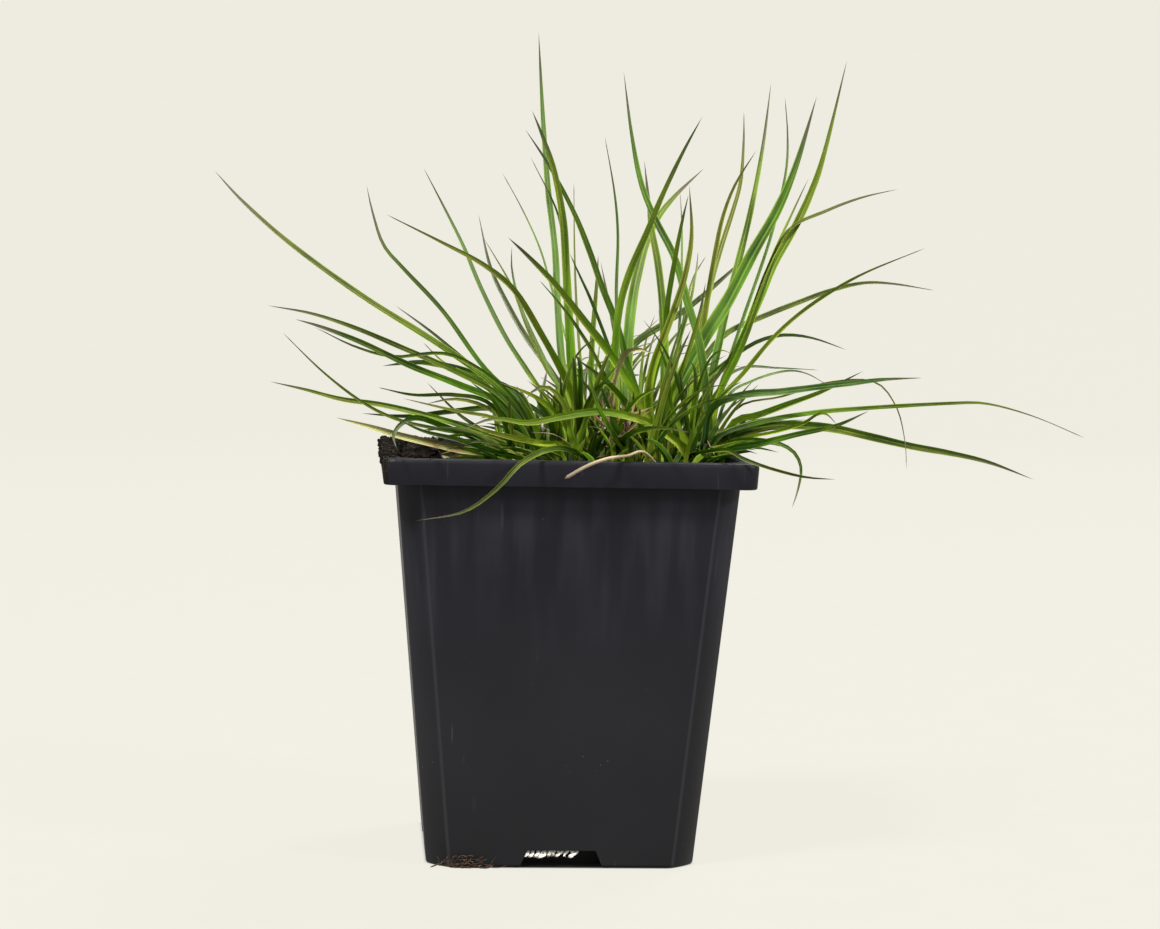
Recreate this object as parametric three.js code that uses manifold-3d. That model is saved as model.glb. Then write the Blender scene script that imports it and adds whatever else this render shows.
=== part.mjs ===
// A young fountain grass in a square black nursery pot: pot, soil, grass tillers and dry stalks.
// Millimetres, +Z up. The origin is the middle of the pot's flat base, and the pot's front faces -Y.
import * as THREE from 'three';
import { mergeVertices } from 'three/addons/utils/BufferGeometryUtils.js';
import Module from 'manifold-3d';

const wasm = await Module();
wasm.setup();

// Pot: a thin moulded square pot, 9 x 9 x 10 cm.
const POT_HEIGHT = 100;
const BASE_HALF = 32.7;
const BODY_TOP_HALF = 41.9;
const BODY_CORNER = 5.5;
const WALL = 1.1;
const FLOOR = 1.6;
const RIM_HALF = 45;
const RIM_CORNER = 3;
const RIM_DROP = 6.3;
const SKIRT = 1.3;
const NOTCH_TOP = 16.6;
const NOTCH_BOTTOM = 21.4;
const NOTCH_HEIGHT = 4.4;
const NOTCH_DEPTH = 6;
const DRAIN_RADIUS = 4;
const DRAIN_OFFSET = 17;

// Soil, and the holes that the stalks stand in.
const SOIL_LEVEL = 91.4;
const SOIL_CROWN = 2.6;
const GAP = 0.3;
const ROOTED = 8;
const HOLE_RADIUS = 2.1;

// Grass. A leaf's width is what the eye sees, and its thickness is what the thinnest solid needs.
const CROWN = [12, -1];
const STALK_RADIUS = 1.35;
const STALK_HEIGHT = 11;
const BLADE_THICKNESS = 0.66;
const LEAF_LENGTH = [84, 128];
const LEAN = [0.12, 0.6];
const TURN = 0.75;

// Room round a leaf, and how far along it that room is looked for: past its own sheath, and past the
// stretch where the leaves of one tiller part. A leaf leaves its stalk at SHEATH_FOOT and SHEATH_NECK
// of the stalk's length.
const CLEARANCE = 0.42;
const SAMPLE_STEP = 1;
const SHEATH = 7;
const PARTING = 16;
const TRIES = 90;
const SHEATH_FOOT = 0.45;
const SHEATH_NECK = 0.88;

// More tillers, grown by rule where the crown has room, and the lengths of the leaves that are grown
// by rule.
const MORE_TILLERS = 13;
const CROWN_REACH = [31, 27];
const SPACING = 5;
const SHORT_LEAF = [18, 40];
const LONG_LEAF = [45, 105];

// The grass was surveyed from this eye point. A surveyed point is [x, z] on the upright plane y = 0,
// and a leaf that stands nearer or farther than that plane is moved along its line of sight.
const EYE = new THREE.Vector3(-52, -748, 145);
const toEye = EYE.clone().normalize();

// Colours.
const POT_BLACK = '#2b2b30';
const PEAT = '#2a2019';
const GREEN = '#4f7d1e';
const STRAW = '#b49a6c';

const mix = THREE.MathUtils.lerp;
const clamp = THREE.MathUtils.clamp;

// Repeatable random numbers from 0 to 1.
let seed = 11;
function random() {
  seed = (seed * 1664525 + 1013904223) % 4294967296;
  return seed / 4294967296;
}
const between = (low, high) => mix(low, high, random());

// Solids and meshes.
function solid(geometry) {
  geometry.deleteAttribute('normal');
  geometry.deleteAttribute('uv');
  const merged = mergeVertices(geometry, 1e-4);
  const vertProperties = new Float32Array(merged.attributes.position.array);
  const triVerts = new Uint32Array(merged.index.array);
  return new wasm.Manifold(new wasm.Mesh({ numProp: 3, vertProperties, triVerts }));
}

// Every node is one body, so a crumb that rounding cuts off is dropped and a sealed hollow is filled.
const SHORT_EDGE = 0.015;
const largest = (shape) => shape.decompose().sort((a, b) => b.volume() - a.volume())[0];
const group = new THREE.Group();
function addNode(name, shape, color, roughness) {
  const { vertProperties, triVerts } = largest(shape.simplify(SHORT_EDGE)).getMesh();
  const geometry = new THREE.BufferGeometry();
  geometry.setAttribute('position', new THREE.BufferAttribute(vertProperties, 3));
  geometry.setIndex(new THREE.BufferAttribute(triVerts, 1));
  geometry.computeVertexNormals();
  const node = new THREE.Mesh(geometry, new THREE.MeshStandardMaterial({ color, roughness, metalness: 0 }));
  node.name = name;
  group.add(node);
}

// A stack of rounded squares, each level being [z, half width, corner radius].
function loft(levels, curveSegments = 4) {
  const outline = new THREE.Shape();
  outline.absarc(1, 1, 1, 0, Math.PI / 2);
  outline.absarc(-1, 1, 1, Math.PI / 2, Math.PI);
  outline.absarc(-1, -1, 1, Math.PI, Math.PI * 1.5);
  outline.absarc(1, -1, 1, Math.PI * 1.5, Math.PI * 2);
  const steps = levels.length - 1;
  const options = { depth: steps, steps, curveSegments, bevelEnabled: false };
  const geometry = new THREE.ExtrudeGeometry(outline, options);
  const place = geometry.attributes.position;
  for (let i = 0; i < place.count; i += 1) {
    const [z, half, corner] = levels[Math.round(place.getZ(i))];
    const spread = (v) => v * corner + Math.sign(v) * (half - 2 * corner);
    place.setXYZ(i, spread(place.getX(i)), spread(place.getY(i)), z);
  }
  return solid(geometry);
}

const bodyHalf = (z) => mix(BASE_HALF, BODY_TOP_HALF, z / POT_HEIGHT);
const bodyLevel = (z, inset) => [z, bodyHalf(z) - inset, BODY_CORNER - inset];

// A drainage notch in the foot of one side: its outline grown by a margin, from a depth to the outside.
function notch(side, margin, inner, outer, bottom) {
  const outline = new THREE.Shape([
    new THREE.Vector2(-NOTCH_BOTTOM / 2 - margin, bottom),
    new THREE.Vector2(NOTCH_BOTTOM / 2 + margin, bottom),
    new THREE.Vector2(NOTCH_TOP / 2 + margin, NOTCH_HEIGHT + margin),
    new THREE.Vector2(-NOTCH_TOP / 2 - margin, NOTCH_HEIGHT + margin),
  ]);
  const geometry = new THREE.ExtrudeGeometry(outline, { depth: outer - inner, bevelEnabled: false });
  geometry.rotateX(Math.PI / 2);
  geometry.translate(0, -inner, 0);
  geometry.rotateZ(side * Math.PI / 2);
  return solid(geometry);
}

const notchBack = BASE_HALF - NOTCH_DEPTH;

function pot() {
  const top = POT_HEIGHT;
  const skirtFoot = top - RIM_DROP;
  let shape = loft([bodyLevel(0, 0.5), bodyLevel(0.6, 0), bodyLevel(top, 0)]);
  const rim = loft([
    [skirtFoot, RIM_HALF - 0.3, RIM_CORNER],
    [top - 0.6, RIM_HALF, RIM_CORNER],
    [top, RIM_HALF - 0.5, RIM_CORNER - 0.5],
  ]);
  const underRim = loft([
    [skirtFoot - 1, RIM_HALF - SKIRT, RIM_CORNER - 1],
    [top - SKIRT, RIM_HALF - SKIRT, RIM_CORNER - 1],
  ]);
  const inside = loft([
    bodyLevel(FLOOR, WALL + 0.6),
    bodyLevel(FLOOR + 1, WALL),
    bodyLevel(top + 1, WALL),
  ]);
  shape = shape.add(rim.subtract(underRim)).subtract(inside);
  for (let side = 0; side < 4; side += 1) {
    shape = shape.add(notch(side, WALL, notchBack - WALL, BASE_HALF - 0.6, 0));
  }
  for (let side = 0; side < 4; side += 1) {
    shape = shape.subtract(notch(side, 0, notchBack, RIM_HALF, -1));
  }
  for (const x of [-DRAIN_OFFSET, DRAIN_OFFSET]) {
    for (const y of [-DRAIN_OFFSET, DRAIN_OFFSET]) {
      const drain = new THREE.CylinderGeometry(DRAIN_RADIUS, DRAIN_RADIUS, 2 * FLOOR + 2, 20);
      drain.rotateX(Math.PI / 2);
      drain.translate(x, y, 0);
      shape = shape.subtract(solid(drain));
    }
  }
  return shape;
}

// Height of the soil: crowned under the grass, with low waves.
function soilTop(x, y) {
  const rise = Math.exp(-((x - CROWN[0]) ** 2 + (y - CROWN[1]) ** 2) / 900);
  const lumps = 0.5 * Math.sin(0.42 * x + 1.3) * Math.sin(0.47 * y - 0.4);
  const waves = 0.35 * Math.sin(0.9 * x + 0.7 * y);
  return SOIL_LEVEL + SOIL_CROWN * rise + lumps + waves;
}

function soil(spots) {
  const inset = WALL + GAP;
  let shape = loft([
    bodyLevel(FLOOR + GAP, inset + 0.6),
    bodyLevel(FLOOR + GAP + 1, inset),
    bodyLevel(POT_HEIGHT, inset),
  ], 3);
  const sky = new THREE.BoxGeometry(96, 96, 20, 13, 13, 1);
  const place = sky.attributes.position;
  for (let i = 0; i < place.count; i += 1) {
    const low = place.getZ(i) < 0;
    place.setZ(i, low ? soilTop(place.getX(i), place.getY(i)) : POT_HEIGHT + 10);
  }
  shape = shape.subtract(solid(sky));
  for (let side = 0; side < 4; side += 1) {
    shape = shape.subtract(notch(side, WALL + GAP, notchBack - WALL - GAP, RIM_HALF, -1));
  }
  for (const [x, y] of spots) {
    const hole = new THREE.CylinderGeometry(HOLE_RADIUS, HOLE_RADIUS, 20, 6);
    hole.rotateX(Math.PI / 2);
    hole.translate(x, y, soilTop(x, y) - ROOTED - GAP + 10);
    shape = shape.subtract(solid(hole));
  }
  return shape;
}

// Leaves. A leaf's midrib is a smooth curve, and its solid is a row of straight runs along it.
const smooth = (points) => new THREE.CatmullRomCurve3(points, false, 'catmullrom', 0.5);
const bladeTaper = (s) => Math.min(1, 0.65 + 1.4 * s) * (1 - s ** 2.2);
const bladeWidth = (width, s) => Math.max(width * bladeTaper(s), BLADE_THICKNESS);
const stalkRadius = (s) => STALK_RADIUS * (1.08 - 0.35 * clamp((s - 0.4) / 0.6, 0, 1));

// More runs where a leaf is long or bends much.
function bladeRuns(curve) {
  const points = curve.getPoints(16);
  let length = 0;
  let bend = 0;
  for (let i = 1; i < points.length; i += 1) {
    const run = points[i].clone().sub(points[i - 1]);
    length += run.length();
    if (i > 1) bend += run.angleTo(points[i - 1].clone().sub(points[i - 2]));
  }
  return clamp(Math.round(length / 19 + 1.9 * bend), 3, 10);
}

// Points every SAMPLE_STEP along those runs, each with its radius.
function probe(curve, runs, radiusAt) {
  const points = [];
  for (let k = 0; k < runs; k += 1) {
    const from = curve.getPoint(k / runs);
    const to = curve.getPoint((k + 1) / runs);
    const count = Math.ceil(from.distanceTo(to) / SAMPLE_STEP);
    for (let i = 0; i < count; i += 1) {
      const point = from.clone().lerp(to, i / count);
      point.radius = radiusAt((k + i / count) / runs);
      points.push(point);
    }
  }
  return points;
}

const placed = [];
function keep(probes, owner) {
  placed.push({ probes, owner, box: new THREE.Box3().setFromPoints(probes) });
}

function clearsPot(probes) {
  return probes.every((p) => {
    const out = Math.max(Math.abs(p.x), Math.abs(p.y));
    const reach = p.radius + CLEARANCE;
    const overRim = out > bodyHalf(POT_HEIGHT) - WALL - reach && out < RIM_HALF + reach;
    if (overRim && p.z < POT_HEIGHT + reach) return false;
    return out > RIM_HALF || p.z > soilTop(p.x, p.y) + reach;
  });
}

// Whether probes keep off what stands already, with or without the leaves of the same tiller.
function clearsOthers(probes, owner, siblings) {
  const box = new THREE.Box3().setFromPoints(probes).expandByScalar(3);
  return placed.every((other) => {
    const own = other.owner === owner;
    if ((own && !siblings) || !box.intersectsBox(other.box)) return true;
    const start = own ? PARTING : 0;
    return probes.slice(start).every((p) => other.probes.slice(start).every((q) => {
      const reach = p.radius + q.radius + CLEARANCE;
      return p.distanceToSquared(q) > reach * reach;
    }));
  });
}

// From a surveyed point to its place at depth y.
function sight([x, z], y) {
  const t = (y - EYE.y) / (0 - EYE.y);
  return new THREE.Vector3(mix(EYE.x, x, t), y, mix(EYE.z, z, t));
}

// The survey. Each tiller has the spot where it stands on the soil, [x, y], and its leaves from the
// outermost in. A leaf is its width and the points that its midrib passes, from its foot to its tip.
// A point with a third number is at that depth, and the depth of the others follows from a rule.
const SURVEY = [
  { spot: [3, -27], leaves: [
    [1.8, [1, 100.4, -36], [-4, 99.8, -44], [-8, 97.8, -48.4], [-11, 95.4, -49.8],
      [-16, 89.7, -49.8], [-24, 84, -49.2], [-36, 81.6, -48.4]],
    [1.5, [2.6, 104, -29], [1.5, 110, -31], [-2, 115, -33], [-6, 115.6, -35], [-9, 112.5, -36]],
  ] },
  { spot: [30, -22], leaves: [
    [1.9, [27, 104.6], [20, 108.2], [10, 110], [1, 108.7], [-8, 106.8], [-17, 107.6], [-25, 104.6]],
    [1.4, [42, 100.8, -40], [46, 98.9, -45.5], [50.5, 97.2, -48.5], [56, 95.6, -50],
      [63, 94.1, -51], [70.5, 93.6, -52]],
    [1.2, [28, 112], [27, 120], [24, 128]],
  ] },
  { spot: [-12, -14], leaves: [
    [1.6, [-16, 99], [-25, 102], [-34, 104], [-41, 107]],
    [1.3, [-14, 106], [-17, 112], [-23, 117]],
  ] },
  { spot: [-13, 4], leaves: [
    [1.4, [-22, 104.8], [-33, 108], [-45, 110.7], [-55, 111.9], [-64, 114.1], [-73, 116]],
    [1, [-30, 104.6], [-41, 107], [-50, 111.3], [-60, 118.8], [-70, 128.3]],
    [1.4, [-20, 102.5], [-29, 105.5], [-36, 107.6], [-40, 106], [-42, 103], [-41.2, 99.8]],
  ] },
  { spot: [-9, 11], leaves: [
    [1.6, [-16, 109.8], [-27, 109.4], [-38, 108], [-50, 108.4]],
    [1, [-17, 103.5], [-24, 107.5], [-28, 110.8], [-33.7, 116.4]],
    [1.3, [-14, 107], [-20, 111], [-27, 112.4], [-34, 111]],
  ] },
  { spot: [-8, -4], leaves: [
    [1.7, [-15, 111.2], [-26, 116], [-38, 120.5], [-50, 126], [-60, 129.7], [-67, 131.7]],
    [1.1, [-18, 111.5], [-27, 113.5], [-37, 113.3], [-46, 115]],
    [1.2, [-16, 107.4], [-27, 109.5], [-40, 112.4]],
  ] },
  { spot: [-4, 8], leaves: [
    [1.6, [-15, 113], [-27, 119.5], [-40, 125], [-52, 129.8], [-63, 133.2], [-74, 135]],
    [2, [-10, 113], [-20, 118], [-28, 120.6], [-36, 121.6], [-45, 120.4]],
    [1, [-18, 115.5], [-25, 119.2], [-30, 121.8], [-34.8, 126.4]],
  ] },
  { spot: [-3, 0], leaves: [
    [2.2, [-15, 114.5], [-30, 125.3], [-50, 137.4], [-68, 150], [-80, 160.3], [-87.5, 168.3]],
    [1, [-14, 115], [-28, 123.5], [-42, 122.8], [-52, 125.2], [-62, 129.8]],
    [1.1, [-12, 113], [-22, 120.5], [-33, 129.3], [-42, 135.6]],
  ] },
  { spot: [1, 14], leaves: [
    [1.4, [-5, 109], [-12, 113.5], [-20, 121], [-30, 134.3], [-40, 144.7],
      [-45.2, 150.6], [-48, 158.5], [-49.7, 165.6]],
    [1.7, [-2.5, 110.5], [-8, 119], [-14, 128], [-20.3, 140], [-25, 150.5], [-30, 160], [-35.6, 170.2]],
  ] },
  { spot: [4, -14], leaves: [
    [1.7, [4, 111], [0.5, 119.5], [-5, 129], [-12, 139.8], [-20, 146.2], [-30, 151.3], [-44.7, 158.3]],
    [1.7, [-6, 101.8], [-16, 103.8], [-27, 107.2]],
    [1.5, [1, 107], [-6, 113], [-16, 117]],
  ] },
  { spot: [3, 5], leaves: [
    [1.9, [2, 112], [-3, 120], [-9, 128], [-14, 136.5], [-18.5, 146], [-21.6, 158.8]],
    [1.2, [1, 113], [-4, 120.5], [-9, 131], [-13, 141], [-20.2, 152.9]],
    [1, [0, 114], [-3.5, 121], [-8, 130], [-11, 137], [-13, 145], [-13.1, 151]],
  ] },
  { spot: [6, -5], leaves: [
    [1.8, [3, 112], [0.3, 121], [-1.2, 135], [-2.2, 150], [-4.2, 165],
      [-5.5, 179], [-6.5, 192], [-7.4, 204.6]],
    [2.4, [4.2, 112], [2.6, 120], [1.6, 133], [0.6, 146], [-0.5, 158], [-3, 170], [-6, 178.5], [-8.7, 185]],
    [1, [3.6, 118], [2, 135], [0, 150], [-2, 160], [-8.9, 173.5]],
  ] },
  { spot: [8, 9], leaves: [
    [1, [5, 115], [1, 128], [-3, 141], [-6, 150.5], [-10.5, 160], [-15.8, 169.2]],
    [0.9, [6, 113], [4, 130], [2.8, 148], [2.2, 167.3]],
    [1.8, [7.8, 112], [7.3, 119], [7.6, 130], [8.3, 141], [8.7, 149.3]],
    [2.3, [10, 115], [18, 126.5], [25, 131.5], [32, 136.5], [40, 143.6], [49, 152.2]],
  ] },
  { spot: [14, -7], leaves: [
    [2.9, [13.2, 113], [13, 122], [14, 135], [16.5, 145], [20.5, 154.5],
      [24.5, 164.5], [29.5, 175.5], [34.2, 184.5]],
    [1.2, [12.5, 114], [9, 122.5], [4, 130.5], [-1, 137], [-6, 142.6]],
    [1, [14.5, 115], [14.2, 126], [13.5, 140], [13.6, 154], [12.5, 165], [9.7, 179]],
  ] },
  { spot: [18, 4], leaves: [
    [3, [17, 113], [16.5, 122], [17.2, 135], [19, 146], [22, 156], [27, 163.5], [35, 171.6]],
    [1, [15, 116], [12, 126], [7.4, 137.3], [4.3, 143.7], [1.4, 149.7]],
    [1.5, [16.5, 112], [15, 121], [12.4, 134], [9.3, 147.7]],
  ] },
  { spot: [22, -3], leaves: [
    [1.9, [20, 112], [17, 121], [13.5, 132.5], [9.8, 141.3], [6.4, 150.5],
      [2.3, 160], [-4, 171.2], [-10.4, 180.4]],
    [1.6, [22.4, 114], [25.5, 128], [26.5, 138], [28, 148], [29.5, 157], [31.1, 164.7]],
    [2, [18, 110], [12, 117], [4, 123]],
  ] },
  { spot: [24, -13], leaves: [
    [1.8, [22.4, 106.5], [18, 116], [12, 125], [5, 133.5], [-2, 141.8], [-9, 148.7], [-14.1, 153.2]],
    [1.8, [22, 112], [23, 121], [26.5, 131], [30.3, 142.5], [32.2, 154], [31.3, 167.3]],
  ] },
  { spot: [26, 7], leaves: [
    [2.1, [26, 113], [26, 122], [25.3, 135], [23.8, 147], [22, 156], [21.2, 162.5], [19.8, 173.2]],
    [0.9, [28, 114], [29.7, 135], [29.7, 155], [29, 165.5]],
    [1.1, [28, 115], [30.4, 132], [32.5, 143], [35.9, 149.5]],
    [1, [26.5, 116], [31.5, 135], [33.4, 145], [33.9, 150.6]],
  ] },
  { spot: [27, -6], leaves: [
    [3.9, [27, 108.5], [29.6, 116], [35.5, 127.5], [42, 138.5], [48, 150.5],
      [54, 161.5], [58.5, 173], [63.1, 190.3]],
    [1.5, [27.6, 112], [31, 122], [34.5, 134], [36, 143]],
  ] },
  { spot: [31, 12], leaves: [
    [1.7, [31, 112], [34.5, 121], [41, 129.5], [50, 134.1], [60, 138.3],
      [68, 141.4], [76, 143.4], [84, 143.4], [94.5, 142]],
    [1.2, [31, 110], [36, 117.8], [45, 125.5], [51, 128.9], [57, 130.1], [64, 129.3], [72.4, 126.5]],
  ] },
  { spot: [32, -2], leaves: [
    [2.3, [34.6, 108.5], [40.5, 116], [45, 127], [49.3, 137], [53.5, 148],
      [58, 156.5], [62, 165.5], [65.3, 176], [70.5, 199.4]],
    [1.1, [35, 112], [45, 128], [51.5, 146], [57, 156.6], [66, 161.4], [75, 165], [84.4, 167.4]],
  ] },
  { spot: [33, 4], leaves: [
    [1.4, [32.5, 113], [34, 125], [36.8, 140], [39.5, 151], [42.5, 161],
      [44.3, 168.5], [44.8, 178], [44.7, 186]],
    [1.5, [33.5, 113], [35, 126], [36.6, 140], [38.3, 151.5], [40, 160], [43, 168], [48.2, 176.5]],
  ] },
  { spot: [36, 10], leaves: [
    [1.8, [37, 113], [39.4, 126], [42, 139], [45, 152], [47.5, 164], [49.7, 178], [51.4, 193.3]],
    [1, [40, 116], [46, 135], [52, 154], [55.5, 170], [55.9, 180], [55, 189.8]],
    [1.1, [39, 113], [46, 131], [53, 150], [57.5, 160.5], [61.6, 169.8]],
  ] },
  { spot: [37, -5], leaves: [
    [1.8, [37, 112], [34.7, 127], [31.2, 138], [27.8, 149], [23, 158],
      [19, 167.5], [16.3, 180], [14.1, 195.4]],
    [1.6, [39.5, 113.5], [45, 126], [49.3, 138], [53.8, 150.6]],
    [1.5, [39, 111.5], [46, 120.2], [53, 128.8], [60, 135.5], [68, 141.3], [77, 146.4], [91.8, 152.7]],
  ] },
  { spot: [33, -15], leaves: [
    [1.9, [38, 111], [46, 114.7], [56, 115.7], [66, 117.1], [74, 118.1], [82, 119.2], [92, 119.8]],
    [1.8, [42, 104.9], [52, 108], [64, 110.3], [76, 111.6], [88, 112.6], [100, 113.4],
      [107, 113.6], [114, 112.4], [123, 109.7], [134.4, 105.1]],
  ] },
  { spot: [37, -11], leaves: [
    [1.8, [44, 108], [50, 109.8], [58, 112.8], [66, 115.9], [76.8, 121.3]],
    [1.9, [44, 104.7], [52, 107], [61, 107.3], [70, 106.5], [80, 104.4],
      [90, 102.3], [100, 100.7], [110, 98.5], [121.5, 94.3]],
    [0.9, [46, 103.6], [55, 105.6], [61.5, 107.7], [65, 109.9], [67.6, 110.1], [70.2, 107.7]],
  ] },
  { spot: [38, 3], leaves: [
    [1.1, [40, 116], [46, 121.5], [55, 121.6], [65.3, 121.3]],
    [1.1, [42, 113.7], [48.5, 118.2], [56.5, 120.8], [62, 120.4], [67.8, 117.5]],
    [0.8, [45, 111.5], [56, 114.4], [68, 118.2], [79.5, 118.6], [85.3, 112.5], [87.8, 104], [88.5, 96.5]],
  ] },
  { spot: [37, -20], leaves: [
    [1.9, [43, 100.9], [50, 102.2], [60, 104.8], [70, 107.2], [78.5, 111.2]],
    [1.5, [44, 103], [53, 103.2], [59, 100.8], [61.4, 96.5], [60.8, 91], [59.3, 86]],
  ] },
  { spot: [13, -20], leaves: [
    [1.6, [11.5, 107], [9, 112], [7, 119]],
    [1.5, [15, 107], [19, 113], [26, 117]],
    [1.3, [17, 104], [24, 106], [33, 105]],
  ] },
];

// Dry leaves, and a dry straw that hangs over the front of the rim.
const DRY_LEAVES = [
  { spot: [-17, -9], leaves: [
    [1.9, [-22, 99.4, -9], [-30, 100.9, -10], [-40, 103, -11], [-48, 105.2, -12], [-56.5, 107.3, -13]],
  ] },
  { spot: [12, -12], leaves: [
    [1.4, [12.5, 107], [13.5, 118], [16, 124.6], [19.5, 125.8], [23, 124.7]],
  ] },
  { spot: [-22, 14], leaves: [
    [1.3, [-27, 97.6, 18], [-31, 98.6, 24], [-33, 96.5, 30]],
  ] },
];
const STRAW_SPOT = [25, -32];
const STRAW_ROUTE = [
  [22, 99.4, -37], [17, 98.8, -43.4], [12, 98, -47.4], [7, 96.1, -48.6], [1.2, 92.7, -49],
];
const STRAW_RADIUS = 0.55;
const STRAW_RUNS = 9;

// The surveyed grass hides what stands behind this outline, [x, z]: leaves grown by rule stay below it.
const HIDDEN = [
  [-200, 90], [-50, 103], [-38, 108], [-25, 111], [-14, 114], [-6, 118], [6, 128], [14, 134], [24, 136],
  [34, 134], [42, 126], [50, 117], [60, 111], [76, 104], [200, 90],
];

// The leaf of a tiller along the given knots, or null where it would touch something.
function tryLeaf(tiller, knots, leaf, siblings) {
  const curve = smooth([tiller.stalk.getPoint(SHEATH_FOOT), tiller.stalk.getPoint(SHEATH_NECK), ...knots]);
  const width = leaf.seen / Math.cos(leaf.turn);
  const runs = bladeRuns(curve);
  const probes = probe(curve, runs, (s) => bladeWidth(width, s) / 2);
  if (!clearsPot(probes.slice(SHEATH)) || !clearsOthers(probes, tiller, siblings)) return null;
  return { ...leaf, curve, width, runs, probes };
}

// A surveyed leaf leans out of the plane of the survey by as much as its length leaves over. It leans
// back or forwards with its tiller, but a low leaf never back, where the rim stands.
function surveyedLeaf(tiller, [seen, ...points]) {
  const neck = tiller.stalk.getPoint(SHEATH_NECK);
  const [tipX, tipZ] = points[points.length - 1];
  const shown = Math.hypot(tipX - neck.x, tipZ - neck.z);
  const whole = between(...LEAF_LENGTH);
  const spare = Math.sqrt(Math.max(0, whole ** 2 - shown ** 2)) + 0.12 * shown;
  const lowest = Math.min(...points.map(([, z]) => z));
  const way = neck.y > CROWN[1] && lowest > 103 ? 1 : -1;
  const wanted = way * spare * between(...LEAN);
  const leaf = { seen, turn: between(-TURN, TURN), face: toEye };
  for (let attempt = 0; attempt < TRIES; attempt += 1) {
    const loose = attempt / TRIES;
    const lean = wanted * (1 - loose) + between(-0.6, 0.6) * spare * loose;
    const bulge = between(-9, 9) * loose;
    const knots = points.map(([x, z, y], i) => {
      const s = (i + 1) / points.length;
      return sight([x, z], y ?? neck.y + lean * s ** 1.5 + bulge * Math.sin(Math.PI * s));
    });
    const grown = tryLeaf(tiller, knots, leaf, loose < 0.6);
    if (grown) return grown;
  }
  return null;
}

function hiddenTop(x) {
  const k = HIDDEN.findIndex(([px]) => px > x);
  const [[x0, z0], [x1, z1]] = [HIDDEN[k - 1], HIDDEN[k]];
  return mix(z0, z1, (x - x0) / (x1 - x0));
}

function isHidden(probes) {
  return probes.every((p) => {
    const t = (0 - EYE.y) / (p.y - EYE.y);
    const z = mix(EYE.z, p.z, t);
    return z > 97.5 && z < hiddenTop(mix(EYE.x, p.x, t));
  });
}

// A leaf grown by rule starts out steeply and bends over by an even amount on each of its steps.
const KNOTS = 5;
function ruledLeaf(tiller, [shortest, longest], flattest) {
  const [x, y] = tiller.spot;
  const outwards = Math.atan2(y - CROWN[1], x - CROWN[0]);
  for (let attempt = 0; attempt < TRIES; attempt += 1) {
    const loose = attempt / TRIES;
    const step = between(shortest, longest) * (1 - 0.5 * loose) / KNOTS;
    const way = outwards + between(-0.6, 0.6) * (1 + 2 * loose);
    const sway = between(-0.5, 0.5);
    const rise = between(1.05, 1.45);
    const fall = between(0.8, flattest);
    const face = new THREE.Vector3(-0.8 * Math.cos(way), -0.8 * Math.sin(way), 0.6);
    const leaf = { seen: between(1.2, 1.9), turn: between(-0.5, 0.5), face };
    const knots = [];
    let point = tiller.stalk.getPoint(SHEATH_NECK);
    for (let i = 0; i < KNOTS; i += 1) {
      const s = (i + 0.5) / KNOTS;
      const slope = mix(rise, fall, s);
      const heading = way + sway * s;
      const flat = step * Math.cos(slope);
      point = point.clone();
      point.x += flat * Math.cos(heading);
      point.y += flat * Math.sin(heading);
      point.z += step * Math.sin(slope);
      knots.push(point);
    }
    const grown = tryLeaf(tiller, knots, leaf, loose < 0.5);
    if (grown && isHidden(grown.probes.slice(SHEATH))) return grown;
  }
  return null;
}

// A tiller's stalk stands upright in the soil, then leans towards its leaves.
function plantTiller(name, spot, height, lean, color) {
  const [x, y] = spot;
  const ground = soilTop(x, y);
  const stalk = smooth([
    new THREE.Vector3(x, y, ground - ROOTED),
    new THREE.Vector3(x, y, ground + 0.4),
    new THREE.Vector3(x + lean[0], y + lean[1], ground + height),
  ]);
  const tiller = { name, spot, stalk, color, leaves: [] };
  keep(probe(stalk, 6, stalkRadius).filter((p) => p.z > ground), tiller);
  return tiller;
}

function plantSurveyed(name, { spot, leaves }, color) {
  const firsts = leaves.map(([, first]) => first);
  const middle = firsts.reduce((sum, [x]) => sum + x, 0) / firsts.length;
  const lowest = Math.min(...firsts.map(([, z]) => z));
  const height = clamp(lowest - soilTop(...spot) + 1.5, 5.5, STALK_HEIGHT);
  const lean = [clamp(0.3 * (middle - spot[0]), -2.6, 2.6), 0.03 * spot[1]];
  return plantTiller(name, spot, height, lean, color);
}

const two = (n) => String(n).padStart(2, '0');
const tillers = SURVEY.map((row, i) => plantSurveyed(`tiller_${two(i + 1)}`, row, GREEN));
const dry = DRY_LEAVES.map((row, i) => plantSurveyed(`dry_leaf_${i + 1}`, row, STRAW));

const straw = smooth([
  new THREE.Vector3(...STRAW_SPOT, soilTop(...STRAW_SPOT) - ROOTED),
  new THREE.Vector3(...STRAW_SPOT, soilTop(...STRAW_SPOT) + 0.5),
  ...STRAW_ROUTE.map(([x, z, y]) => sight([x, z], y)),
]);
keep(probe(straw, STRAW_RUNS, () => STRAW_RADIUS), straw);

// The surveyed leaves grow first, and then each of those tillers gets a short one by rule.
function grow(tiller, leaf) {
  if (!leaf) return;
  keep(leaf.probes, tiller);
  tiller.leaves.push(leaf);
}

[...DRY_LEAVES, ...SURVEY].forEach(({ leaves }, i) => {
  const tiller = [...dry, ...tillers][i];
  for (const leaf of leaves) {
    const grown = surveyedLeaf(tiller, leaf);
    if (!grown) throw new Error(`no room for a leaf of ${tiller.name}`);
    grow(tiller, grown);
  }
});
for (const tiller of tillers) grow(tiller, ruledLeaf(tiller, SHORT_LEAF, 0.2));

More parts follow.
